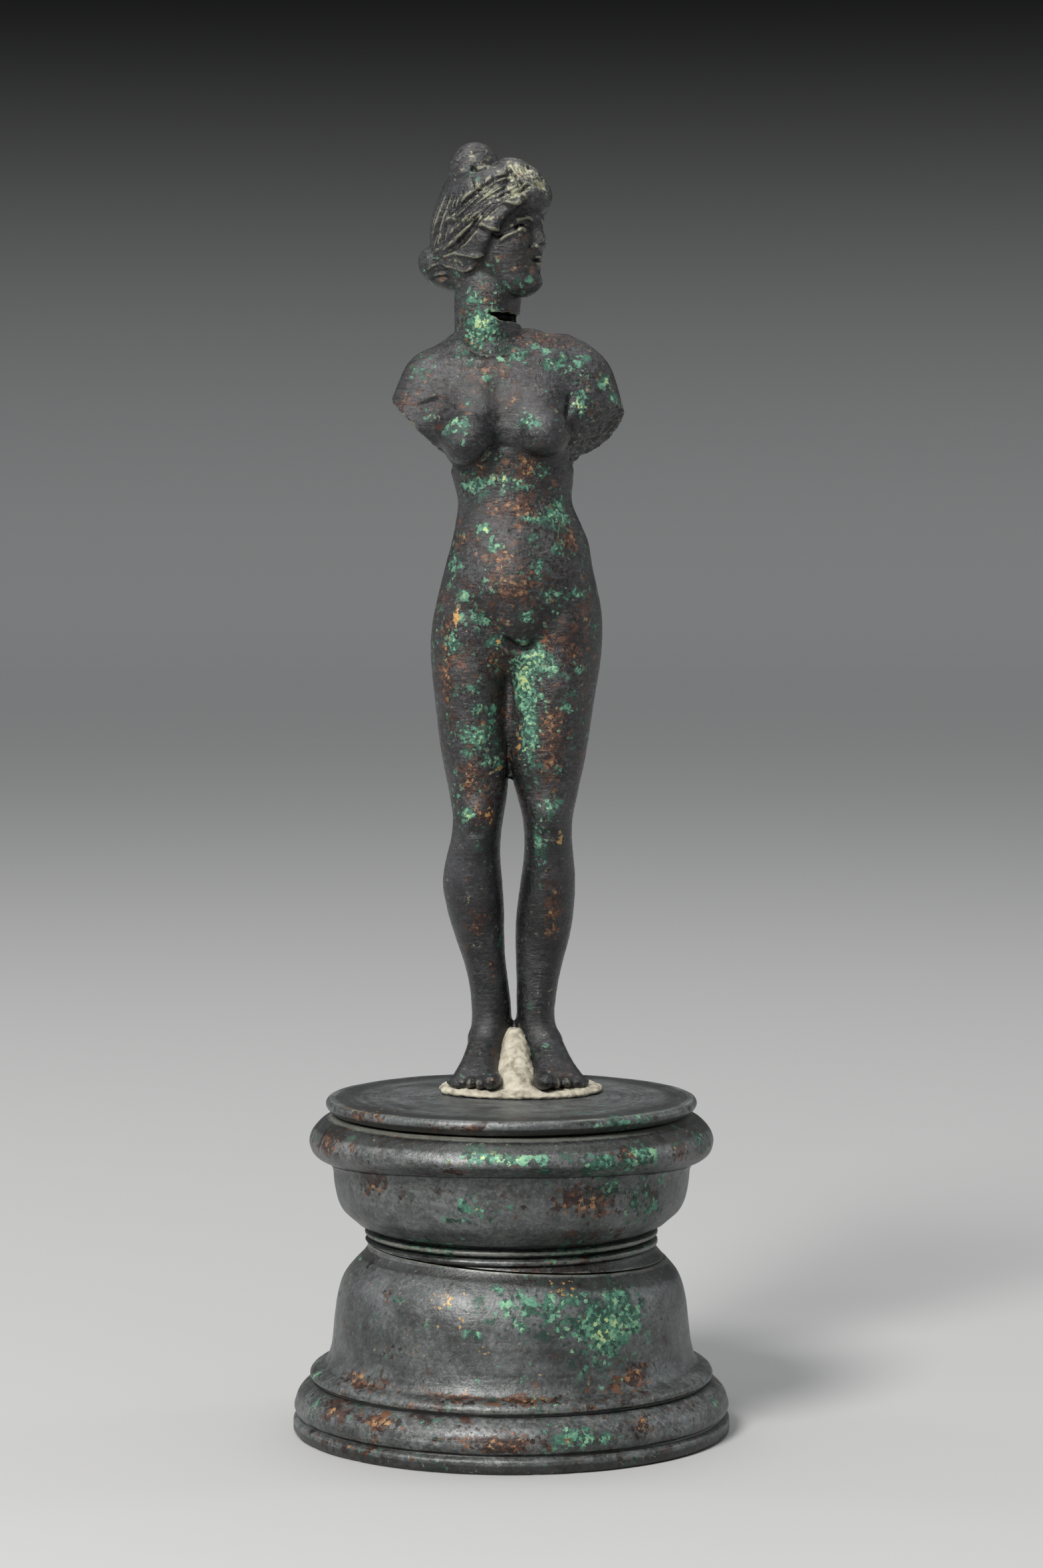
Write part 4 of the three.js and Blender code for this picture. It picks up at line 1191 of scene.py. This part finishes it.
def sculptHead(clay):
    head = clay.onHead
    for side in (1, -1):
        # Lids, wing of the nose and corner of the mouth
        clay.stroke(head([(side * 0.24, 0.5), (side * 0.34, 0.523), (side * 0.46, 0.525), (side * 0.6, 0.5)]),
                    0.22, -0.28)
        clay.stroke(head([(side * 0.26, 0.49), (side * 0.38, 0.476), (side * 0.5, 0.478), (side * 0.6, 0.495)]),
                    0.2, -0.2)
        clay.stroke(head([(side * 0.16, 0.56), (side * 0.34, 0.59), (side * 0.6, 0.565)]), 0.3, 0.22)
        clay.dab(head([(side * 0.15, 0.375)])[0], 0.42, 0.3)
        clay.stroke(head([(side * 0.24, 0.39), (side * 0.27, 0.355)]), 0.25, -0.3)
    clay.stroke(head([(-0.27, 0.267), (-0.12, 0.262), (0.0, 0.266), (0.12, 0.262), (0.27, 0.267)]), 0.2, -0.45)
    clay.stroke(head([(0.0, 0.34), (0.0, 0.31)]), 0.25, -0.2)
    clay.refresh()
    for side in (1, -1):
        # Waved strands swept from the brow to the nape, and up to the knot
        clay.comb(head, [(0.1 * side, 0.86), (0.7 * side, 0.76), (1.25 * side, 0.6), (1.8 * side, 0.42),
                         (2.5 * side, 0.28)],
                  [(0.12 * side, 0.99), (0.8 * side, 0.92), (1.4 * side, 0.8), (2.0 * side, 0.68), (2.7 * side, 0.5)],
                  8, 0.32, -0.75, 21 + side, 0.016)
        clay.comb(head, [(3.1 * side, 0.34), (2.8 * side, 0.55), (2.5 * side, 0.8)],
                  [(2.2 * side, 0.34), (2.0 * side, 0.6), (1.8 * side, 0.86)],
                  7, 0.32, -0.6, 31 + side, 0.012)
    front = clay.fromFront
    locks = [
        ([(-11.0, 187.6), (-9.5, 187.9), (-7.9, 188.3), (-6.2, 187.6), (-4.5, 186.8), (-3.0, 186.2), (-1.5, 186.0)],
         0.5, 0.55),
        ([(-8.1, 191.0), (-7.9, 189.7), (-6.8, 188.5), (-4.9, 187.8)], 0.35, 0.35),
        ([(-2.0, 184.3), (-0.7, 185.1), (1.0, 185.9), (2.6, 187.0)], 0.4, 0.45),
        ([(-10.9, 181.9), (-9.5, 182.7), (-7.2, 182.2), (-5.3, 181.9), (-3.8, 182.7)], 0.35, 0.4),
        ([(-11.4, 180.8), (-9.5, 180.6), (-7.2, 179.9), (-5.7, 180.6)], 0.35, 0.35),
        ([(2.6, 192.5), (1.2, 192.7), (-0.2, 191.9), (-1.0, 190.8), (-0.6, 190.0), (0.6, 189.9), (1.7, 190.6)],
         0.38, 0.75),
    ]
    for path, width, depth in locks:
        clay.stroke(front(path), width, depth, 0.1)
    grooves = [
        ([(-11.2, 186.7), (-7.9, 187.3), (-4.6, 185.8), (-1.6, 185.1), (0.2, 185.9), (1.6, 186.7), (3.1, 187.6)],
         0.35, -0.5),
        ([(-10.6, 189.0), (-8.0, 189.6), (-6.2, 188.6)], 0.3, -0.35),
        ([(0.2, 191.3), (0.8, 191.2)], 0.5, -0.6),
        ([(-1.1, 197.7), (-0.7, 195.8), (-0.2, 194.2), (-0.4, 193.2), (-1.3, 191.9)], 0.45, -0.9),
        ([(-6.3, 195.8), (-5.3, 195.4), (-3.8, 195.7)], 0.35, -0.9),
        ([(-4.5, 194.5), (-4.3, 192.6)], 0.3, -0.3),
        ([(-2.8, 194.6), (-2.4, 192.2)], 0.3, -0.3),
        ([(-6.2, 194.2), (-5.8, 192.0)], 0.3, -0.3),
    ]
    for path, width, depth in grooves:
        clay.stroke(front(path), width, depth, 0.15)
    clay.comb(front, [(-0.6, 197.4), (0.8, 195.4), (2.7, 193.7), (5.4, 191.9)],
              [(1.8, 197.9), (3.2, 196.6), (4.4, 195.0), (5.9, 192.2)], 6, 0.28, -0.6, 41)
    clay.comb(front, [(-9.0, 195.6), (-6.4, 197.6), (-2.6, 197.0)],
              [(-8.6, 198.0), (-5.6, 199.4), (-2.4, 198.4)], 4, 0.3, -0.35, 43)
    clay.comb(front, [(-14.0, 181.6), (-12.6, 183.2), (-10.6, 184.0)],
              [(-12.6, 178.6), (-11.2, 178.9), (-9.4, 178.6)], 6, 0.28, -0.4, 45)
    back = clay.fromBack
    clay.comb(back, [(-13.6, 182.6), (-9.6, 184.2), (-5.0, 182.6)], [(-13.0, 178.4), (-9.6, 178.6), (-5.6, 178.8)],
              6, 0.34, -0.6, 47)
    clay.comb(back, [(-9.4, 184.6), (-9.6, 189.0), (-7.6, 194.0)], [(0.6, 184.6), (0.4, 189.0), (-1.6, 194.0)],
              9, 0.32, -0.6, 49)
    clay.comb(back, [(-9.0, 195.0), (-6.0, 198.6), (-2.0, 197.6)], [(-8.0, 193.2), (-4.6, 195.8), (-1.6, 195.2)],
              5, 0.3, -0.5, 51)
    clay.comb(back, [(-0.4, 197.0), (1.6, 195.0), (4.4, 192.4)], [(1.6, 197.4), (3.4, 195.8), (5.0, 193.6)],
              4, 0.3, -0.5, 53)


def roughBreak(clay, arm, seed):
    # The broken faces are flat but coarse, as snapped bronze is
    facing = Vector(arm["breakFacing"]).normalized()
    centre = np.array(arm["breakAt"])
    away = (clay.points - centre) @ np.array(facing)
    sideways = np.linalg.norm(clay.points - centre - away[:, None] * np.array(facing), axis=1)
    near = np.nonzero((np.abs(away) < 0.45) & (sideways < 6.5))[0]
    shift = Vector((seed, 0, seed))
    for i in near:
        if clay.normals[i] @ np.array(facing) > 0.6:
            value = noise.fractal(Vector(clay.points[i]) * 1.1 + shift, 0.8, 2.1, 4)
            clay.points[i] += clay.normals[i] * (value * 0.3 - 0.1)


def displace(piece, kind, size, strength, depth=2):
    texture = bpy.data.textures.new(piece.name + kind, kind)
    texture.noise_scale = size
    if kind == "CLOUDS":
        texture.noise_depth = depth
    useModifier(piece, "DISPLACE", texture=texture, strength=strength, mid_level=0.5, texture_coords="LOCAL")


def smoothWhere(piece, weights, passes):
    group = piece.vertex_groups.new(name="soft")
    levels = np.round(np.clip(weights, 0, 1) * 8).astype(int)
    for level in range(1, 9):
        members = np.nonzero(levels == level)[0]
        if len(members):
            group.add(members.tolist(), level / 8, "REPLACE")
    useModifier(piece, "SMOOTH", factor=0.5, iterations=passes, vertex_group=group.name)
    piece.vertex_groups.clear()


def spread(values, first, second, passes):
    # Each point takes the mean of its neighbours, over and over
    count = np.maximum(np.bincount(first, minlength=len(values)) + np.bincount(second, minlength=len(values)), 1)
    for _ in range(passes):
        total = np.zeros_like(values)
        for axis in range(values.shape[1]):
            total[:, axis] = (np.bincount(first, values[second, axis], len(values))
                              + np.bincount(second, values[first, axis], len(values)))
        values = total / count[:, None]
    return values


def markHollows(piece, depth=0.16):
    # How far each spot lies in a small hollow (above a half) or on an edge (below), for the darkening in hollows and
    # the wear on edges
    points = readPoints(piece)
    normals = readNormals(piece)
    edges = np.empty(len(piece.data.edges) * 2, np.int32)
    piece.data.edges.foreach_get("vertices", edges)
    first, second = edges.reshape(-1, 2).T
    dip = np.einsum("ij,ij->i", spread(points, first, second, 8) - points, normals)
    around = spread(dip[:, None], first, second, 24)[:, 0]
    writeAttribute(piece, "hollow", np.clip(0.5 + (dip - around) / depth * 0.5, 0, 1))


def joinPieces(pieces, name):
    bpy.ops.object.select_all(action="DESELECT")
    for piece in pieces:
        piece.select_set(True)
    bpy.context.view_layer.objects.active = pieces[0]
    bpy.ops.object.join()
    whole = bpy.context.object
    whole.name = name
    return whole


# Patina of the figure, with painted shade in one dark patch and a painted highlight in one pale patch, seen from the
# front: across, up, spread across and up, strength
figureSpots = dict(
    green=[
        (-4.8, 170.6, 3.0, 3.2, 0.75), (-5.9, 175.8, 1.6, 1.2, 0.5), (-14.2, 166.0, 2.6, 2.6, 0.25),
        (-3.8, 163.5, 0.6, 0.6, 0.8), (0.1, 166.9, 1.7, 1.3, 0.5), (9.6, 165.5, 2.8, 2.0, 0.4),
        (2.4, 156.3, 1.3, 1.0, 0.7), (-7.6, 156.3, 1.3, 1.2, 0.6), (-5.9, 146.9, 1.6, 1.8, 0.7),
        (1.6, 146.6, 1.4, 1.0, 0.6), (4.7, 148.9, 1.4, 1.4, 0.6), (7.0, 142.0, 2.0, 1.8, 0.8),
        (4.0, 141.5, 1.7, 0.7, 0.6), (-2.3, 137.4, 1.1, 0.8, 0.8), (7.3, 136.9, 0.8, 1.1, 0.8),
        (-9.0, 134.2, 1.0, 2.2, 0.6), (4.1, 134.4, 0.8, 1.0, 0.8), (9.5, 130.0, 2.2, 0.7, 0.7),
        (-5.3, 126.3, 2.0, 0.8, 0.7), (2.4, 126.5, 1.5, 1.1, 0.8), (13.0, 125.0, 0.8, 0.5, 0.6),
        (-9.0, 122.8, 0.9, 1.3, 0.8), (-2.3, 122.6, 1.2, 1.0, 0.7), (3.4, 119.6, 1.8, 2.2, 0.9),
        (2.0, 116.0, 1.5, 3.2, 1.0), (6.3, 118.9, 1.3, 1.6, 0.8), (11.0, 118.1, 1.2, 0.6, 0.8),
        (-5.5, 114.7, 1.0, 1.0, 0.5), (-4.3, 112.2, 1.7, 0.8, 0.7), (-5.2, 108.0, 2.8, 2.2, 0.75),
        (2.8, 107.0, 1.5, 4.5, 0.9), (3.1, 111.0, 1.2, 1.6, 0.9), (9.3, 112.0, 1.2, 0.4, 0.7),
        (-2.9, 103.9, 1.2, 0.8, 0.7), (-6.7, 95.8, 1.2, 1.2, 0.9), (-8.8, 98.6, 0.7, 1.3, 0.5),
        (5.8, 96.6, 1.5, 1.8, 0.5), (4.3, 92.2, 1.3, 3.4, 0.4), (4.2, 86.0, 0.8, 3.0, 0.3),
    ],
    lime=[
        (5.9, 165.3, 0.7, 0.9, 0.6), (14.6, 162.9, 1.0, 1.2, 0.9), (15.8, 160.3, 0.6, 0.7, 0.9),
        (10.5, 159.2, 1.6, 1.6, 0.8), (-9.9, 155.3, 1.4, 0.9, 0.9), (-12.5, 157.2, 0.9, 0.7, 0.7),
        (-1.6, 147.4, 2.2, 0.9, 0.7), (-4.2, 140.0, 1.2, 0.9, 1.0), (-7.0, 129.7, 1.0, 0.9, 0.8),
        (3.6, 120.4, 1.2, 1.2, 0.8), (1.6, 117.0, 1.0, 2.4, 0.8), (4.4, 114.4, 1.0, 1.1, 0.7),
        (-2.0, 103.2, 0.8, 0.6, 0.8), (-6.7, 95.8, 0.8, 0.9, 0.7), (-4.0, 172.0, 1.6, 2.6, 0.5),
    ],
    brown=[
        (-4.0, 175.3, 0.9, 0.9, 0.9), (-5.9, 168.6, 1.3, 0.9, 0.7), (-3.0, 164.1, 3.8, 1.5, 0.5),
        (7.0, 169.3, 3.4, 1.1, 0.7), (-0.2, 159.9, 1.4, 1.0, 0.6), (-16.6, 159.4, 1.5, 1.2, 0.8),
        (-5.3, 149.4, 1.7, 1.7, 0.6), (2.1, 149.7, 2.4, 2.0, 0.7), (2.1, 143.1, 1.4, 1.7, 0.9),
        (-7.4, 138.5, 1.0, 1.3, 0.9), (9.2, 138.5, 1.3, 1.8, 0.8), (-1.3, 143.4, 3.0, 1.8, 0.5),
        (-1.1, 135.9, 1.7, 1.1, 0.8), (0.4, 131.7, 3.4, 3.2, 0.9), (-10.0, 119.4, 0.9, 7.0, 0.9),
        (-2.6, 119.6, 1.2, 1.3, 0.7), (9.8, 120.1, 1.5, 1.2, 0.7), (6.1, 122.1, 1.7, 1.2, 0.6),
        (11.8, 127.3, 0.9, 2.8, 0.7), (5.8, 109.5, 2.2, 3.4, 0.8), (-6.3, 121.4, 1.6, 1.1, 0.5),
        (-6.0, 101.3, 1.8, 3.4, 0.7), (-4.8, 95.7, 1.3, 1.3, 0.9), (6.3, 104.0, 1.4, 3.6, 0.6),
        (6.5, 80.9, 1.3, 5.0, 0.55), (-5.3, 78.3, 1.7, 2.3, 0.45), (-3.0, 71.0, 1.4, 1.2, 0.3),
    ],
    # Darker patina, and painted shade at the right armpit (the patch at -10.6 across)
    dark=[
        (7.6, 169.2, 2.6, 0.9, 0.7), (0.4, 131.0, 2.6, 2.4, 0.45), (3.1, 82.3, 1.8, 9.0, 0.9),
        (-4.4, 68.3, 1.6, 2.2, 0.6), (-10.6, 158.6, 2.0, 2.4, 0.6), (-4.6, 92.0, 0.8, 1.6, 0.8),
        (2.2, 100.5, 1.2, 2.2, 0.7), (1.2, 133.0, 1.6, 1.0, 0.3),
    ],
    gold=[
        (-0.2, 159.6, 1.3, 1.0, 0.7), (-8.4, 126.3, 0.6, 1.6, 1.2), (6.7, 129.2, 0.6, 0.5, 1.2),
        (1.2, 107.0, 0.5, 3.4, 0.9), (-1.8, 102.9, 0.8, 0.6, 1.1), (-3.4, 95.7, 0.8, 0.9, 1.2),
        (7.4, 92.2, 0.7, 1.8, 0.8), (-2.0, 122.4, 0.6, 0.8, 0.9),
    ],
    # Cream patina on the hair, and a painted highlight on the right hip (the patch at -8.0 across)
    pale=[
        (1.6, 195.4, 3.0, 2.0, 0.8), (4.4, 192.6, 1.6, 1.6, 0.7), (0.6, 191.4, 2.0, 1.7, 0.9),
        (-6.0, 187.7, 4.5, 0.6, 0.7), (-4.0, 192.0, 2.2, 2.0, 0.5), (-5.2, 197.6, 2.6, 1.4, 0.5),
        (1.8, 186.4, 1.6, 1.0, 0.5), (-9.0, 181.4, 2.6, 0.8, 0.4), (-8.0, 128.6, 1.0, 1.6, 0.4),
    ],
)
figureBusy = [(53, 0.6), (60, 0.4), (66, 0.3), (78, 0.3), (90, 0.35), (96, 0.7), (104, 0.9), (126, 1.0), (146, 1.0),
              (151, 0.55), (158, 0.5), (165, 0.7), (171, 1.0), (177, 0.9), (184, 0.5), (200, 0.45)]


def makeFigure():
    f = figure
    rightFoot, rightToes = footBodies("rightFoot", footRight)
    leftFoot, leftToes = footBodies("leftFoot", footLeft)
    parts = [torsoBody(), legBody("rightLeg", rightLegSides), legBody("leftLeg", leftLegSides), rightFoot, leftFoot]
    parts += [lump("form", centre, radii) for centre, radii in torsoLumps]
    parts += [upperArm("rightArm", armRight), upperArm("leftArm", armLeft)]
    parts.append(loftBody("neck", neckStations, 40, f["neckSides"]))
    piece = joinPieces(parts, "venusFigure")
    remesh(piece, f["roughVoxel"])

    x, y, z = readPoints(piece).T
    hips = smoothStep(z, 106, 112) * (1 - smoothStep(z, 133, 139))
    shoulders = smoothStep(z, 147, 152) * (1 - smoothStep(z, 168.5, 170.5))
    ankles = smoothStep(z, 54.0, 56.0) * (1 - smoothStep(z, 62, 66)) * 0.8
    bust = smoothStep(z, 148, 149.5) * (1 - smoothStep(z, 157, 160)) * (y < 5) * (np.abs(x) < 9.5) * 0.75
    smoothWhere(piece, np.maximum.reduce([hips, shoulders - bust, ankles]), f["blendPasses"])
    points = readPoints(piece)
    breakArm(points, armRight)
    breakArm(points, armLeft)
    writePoints(piece, points)
    cutCrack(piece)
    print("joins softened, arms broken off")

    piece = joinPieces([piece, headBody()] + hairKnots() + rightToes + leftToes, "venusFigure")
    remesh(piece, f["voxel"])
    z = readPoints(piece)[:, 2]
    feet = 1 - smoothStep(z, 57, 60)
    head = smoothStep(z, 174.5, 176.5)
    smoothWhere(piece, np.maximum(feet * 0.6, head), 7)
    useModifier(piece, "SMOOTH", factor=0.5, iterations=f["softPasses"])
    print("figure cast,", len(piece.data.vertices), "points")

    clay = Clay(piece)
    sculptBody(clay)
    sculptHead(clay)
    clay.refresh()
    roughBreak(clay, armRight, 3.0)
    roughBreak(clay, armLeft, 9.0)
    clay.refresh()
    displace(piece, "CLOUDS", 2.6, f["castRoughness"])
    displace(piece, "CLOUDS", 0.7, f["castRoughness"] * 0.8, 3)
    useModifier(piece, "DECIMATE", ratio=min(1, f["mostFaces"] / (2 * len(piece.data.polygons))))
    markHollows(piece)
    paintSpots(piece, figureSpots, figureBusy)
    makeFill(piece)
    finishPiece(piece, patina("figurePatinaPaintedLight", figureLook), "figurine", 80)


# Solder bed under the feet, with a web that climbs between the ankles

footFill = dict(
    centre=(1.4, 6.2),
    half=(12.8, 10.8),
    clearance=0.04,
    voxel=0.24,
    lumps=0.5,
    grain=0.22,
    blowhole=(0.5, 57.0),
    pits=26,
)
webStations = [
    (52.6, -3.8, 5.0, -3.8, 15.0), (54.8, -2.8, 4.2, -1.6, 14.4), (57.4, -1.9, 3.2, 2.6, 13.6),
    (60.2, -1.3, 2.5, 6.2, 12.4), (61.6, -0.4, 1.6, 7.4, 11.6),
]


def makeFill(figurePiece):
    f = footFill
    (x, y), (halfX, halfY) = f["centre"], f["half"]
    low = figureSize["plinthHeight"] + f["clearance"]
    rings = [(0.0, 0.3), (0.35, 0.0), (0.8, 0.35), (1.2, 1.2), (1.5, 2.6)]
    bed = loftBody("bed", [(low + rise, x - halfX + inset, x + halfX - inset, y - halfY + inset, y + halfY - inset)
                           for rise, inset in rings], 12, 96, 2.2)
    web = loftBody("web", webStations, 30, 48, 2.4)
    draw = random.Random(77)
    blobs = []
    for _ in range(16):
        turn = draw.uniform(math.radians(195), math.radians(345))
        reach = draw.uniform(0.84, 0.95)
        place = (x + halfX * reach * math.cos(turn), y + halfY * reach * math.sin(turn), low + 0.6)
        blobs.append(lump("blob", place, (draw.uniform(0.8, 1.7), draw.uniform(0.6, 1.0), draw.uniform(0.5, 0.8))))
    piece = joinPieces([bed, web] + blobs, "solderBed")
    remesh(piece, f["voxel"])
    useModifier(piece, "SMOOTH", factor=0.5, iterations=8)
    displace(piece, "CLOUDS", 1.5, f["lumps"])
    displace(piece, "CLOUDS", 0.45, f["grain"], 3)
    clay = Clay(piece)
    clay.dab(clay.fromFront([f["blowhole"]])[0], 0.42, -1.3)
    for _ in range(f["pits"]):
        spot = clay.fromFront([(draw.uniform(-1.6, 3.6), draw.uniform(53.4, 60.0))])
        if spot:
            clay.dab(spot[0], draw.uniform(0.15, 0.3), -draw.uniform(0.15, 0.4))
    clay.points[:, 2] = np.maximum(clay.points[:, 2], low)
    clay.refresh()

    bpy.ops.object.select_all(action="DESELECT")
    figurePiece.select_set(True)
    bpy.context.view_layer.objects.active = figurePiece
    bpy.ops.object.duplicate()
    feet = bpy.context.object
    cutAway(feet, (0, 0, 66), (0, 0, 1))
    useModifier(piece, "BOOLEAN", object=feet, operation="DIFFERENCE", solver="EXACT")
    bpy.data.objects.remove(feet)
    markHollows(piece)
    finishPiece(piece, solderMaterial(), "foot_fill", 80)


def solderMaterial():
    material, tree, shader = newMaterial("chalkySolder")
    place = addNode(tree, "ShaderNodeTexCoord").outputs["Object"]
    broad = noiseAt(tree, place, 0.5, 5, 0.6, 0.4)
    colour = ramp(tree, broad, [
        (0.3, (0.16, 0.14, 0.1)), (0.5, (0.36, 0.33, 0.26)), (0.7, (0.5, 0.47, 0.38)),
    ])
    tree.links.new(colour, shader.inputs["Base Color"])
    shader.inputs["Roughness"].default_value = 0.7
    return material


bpy.context.scene.view_settings.view_transform = "Standard"
addCamera()
addLights()
addStage()
makePlinth()
makeFigure()
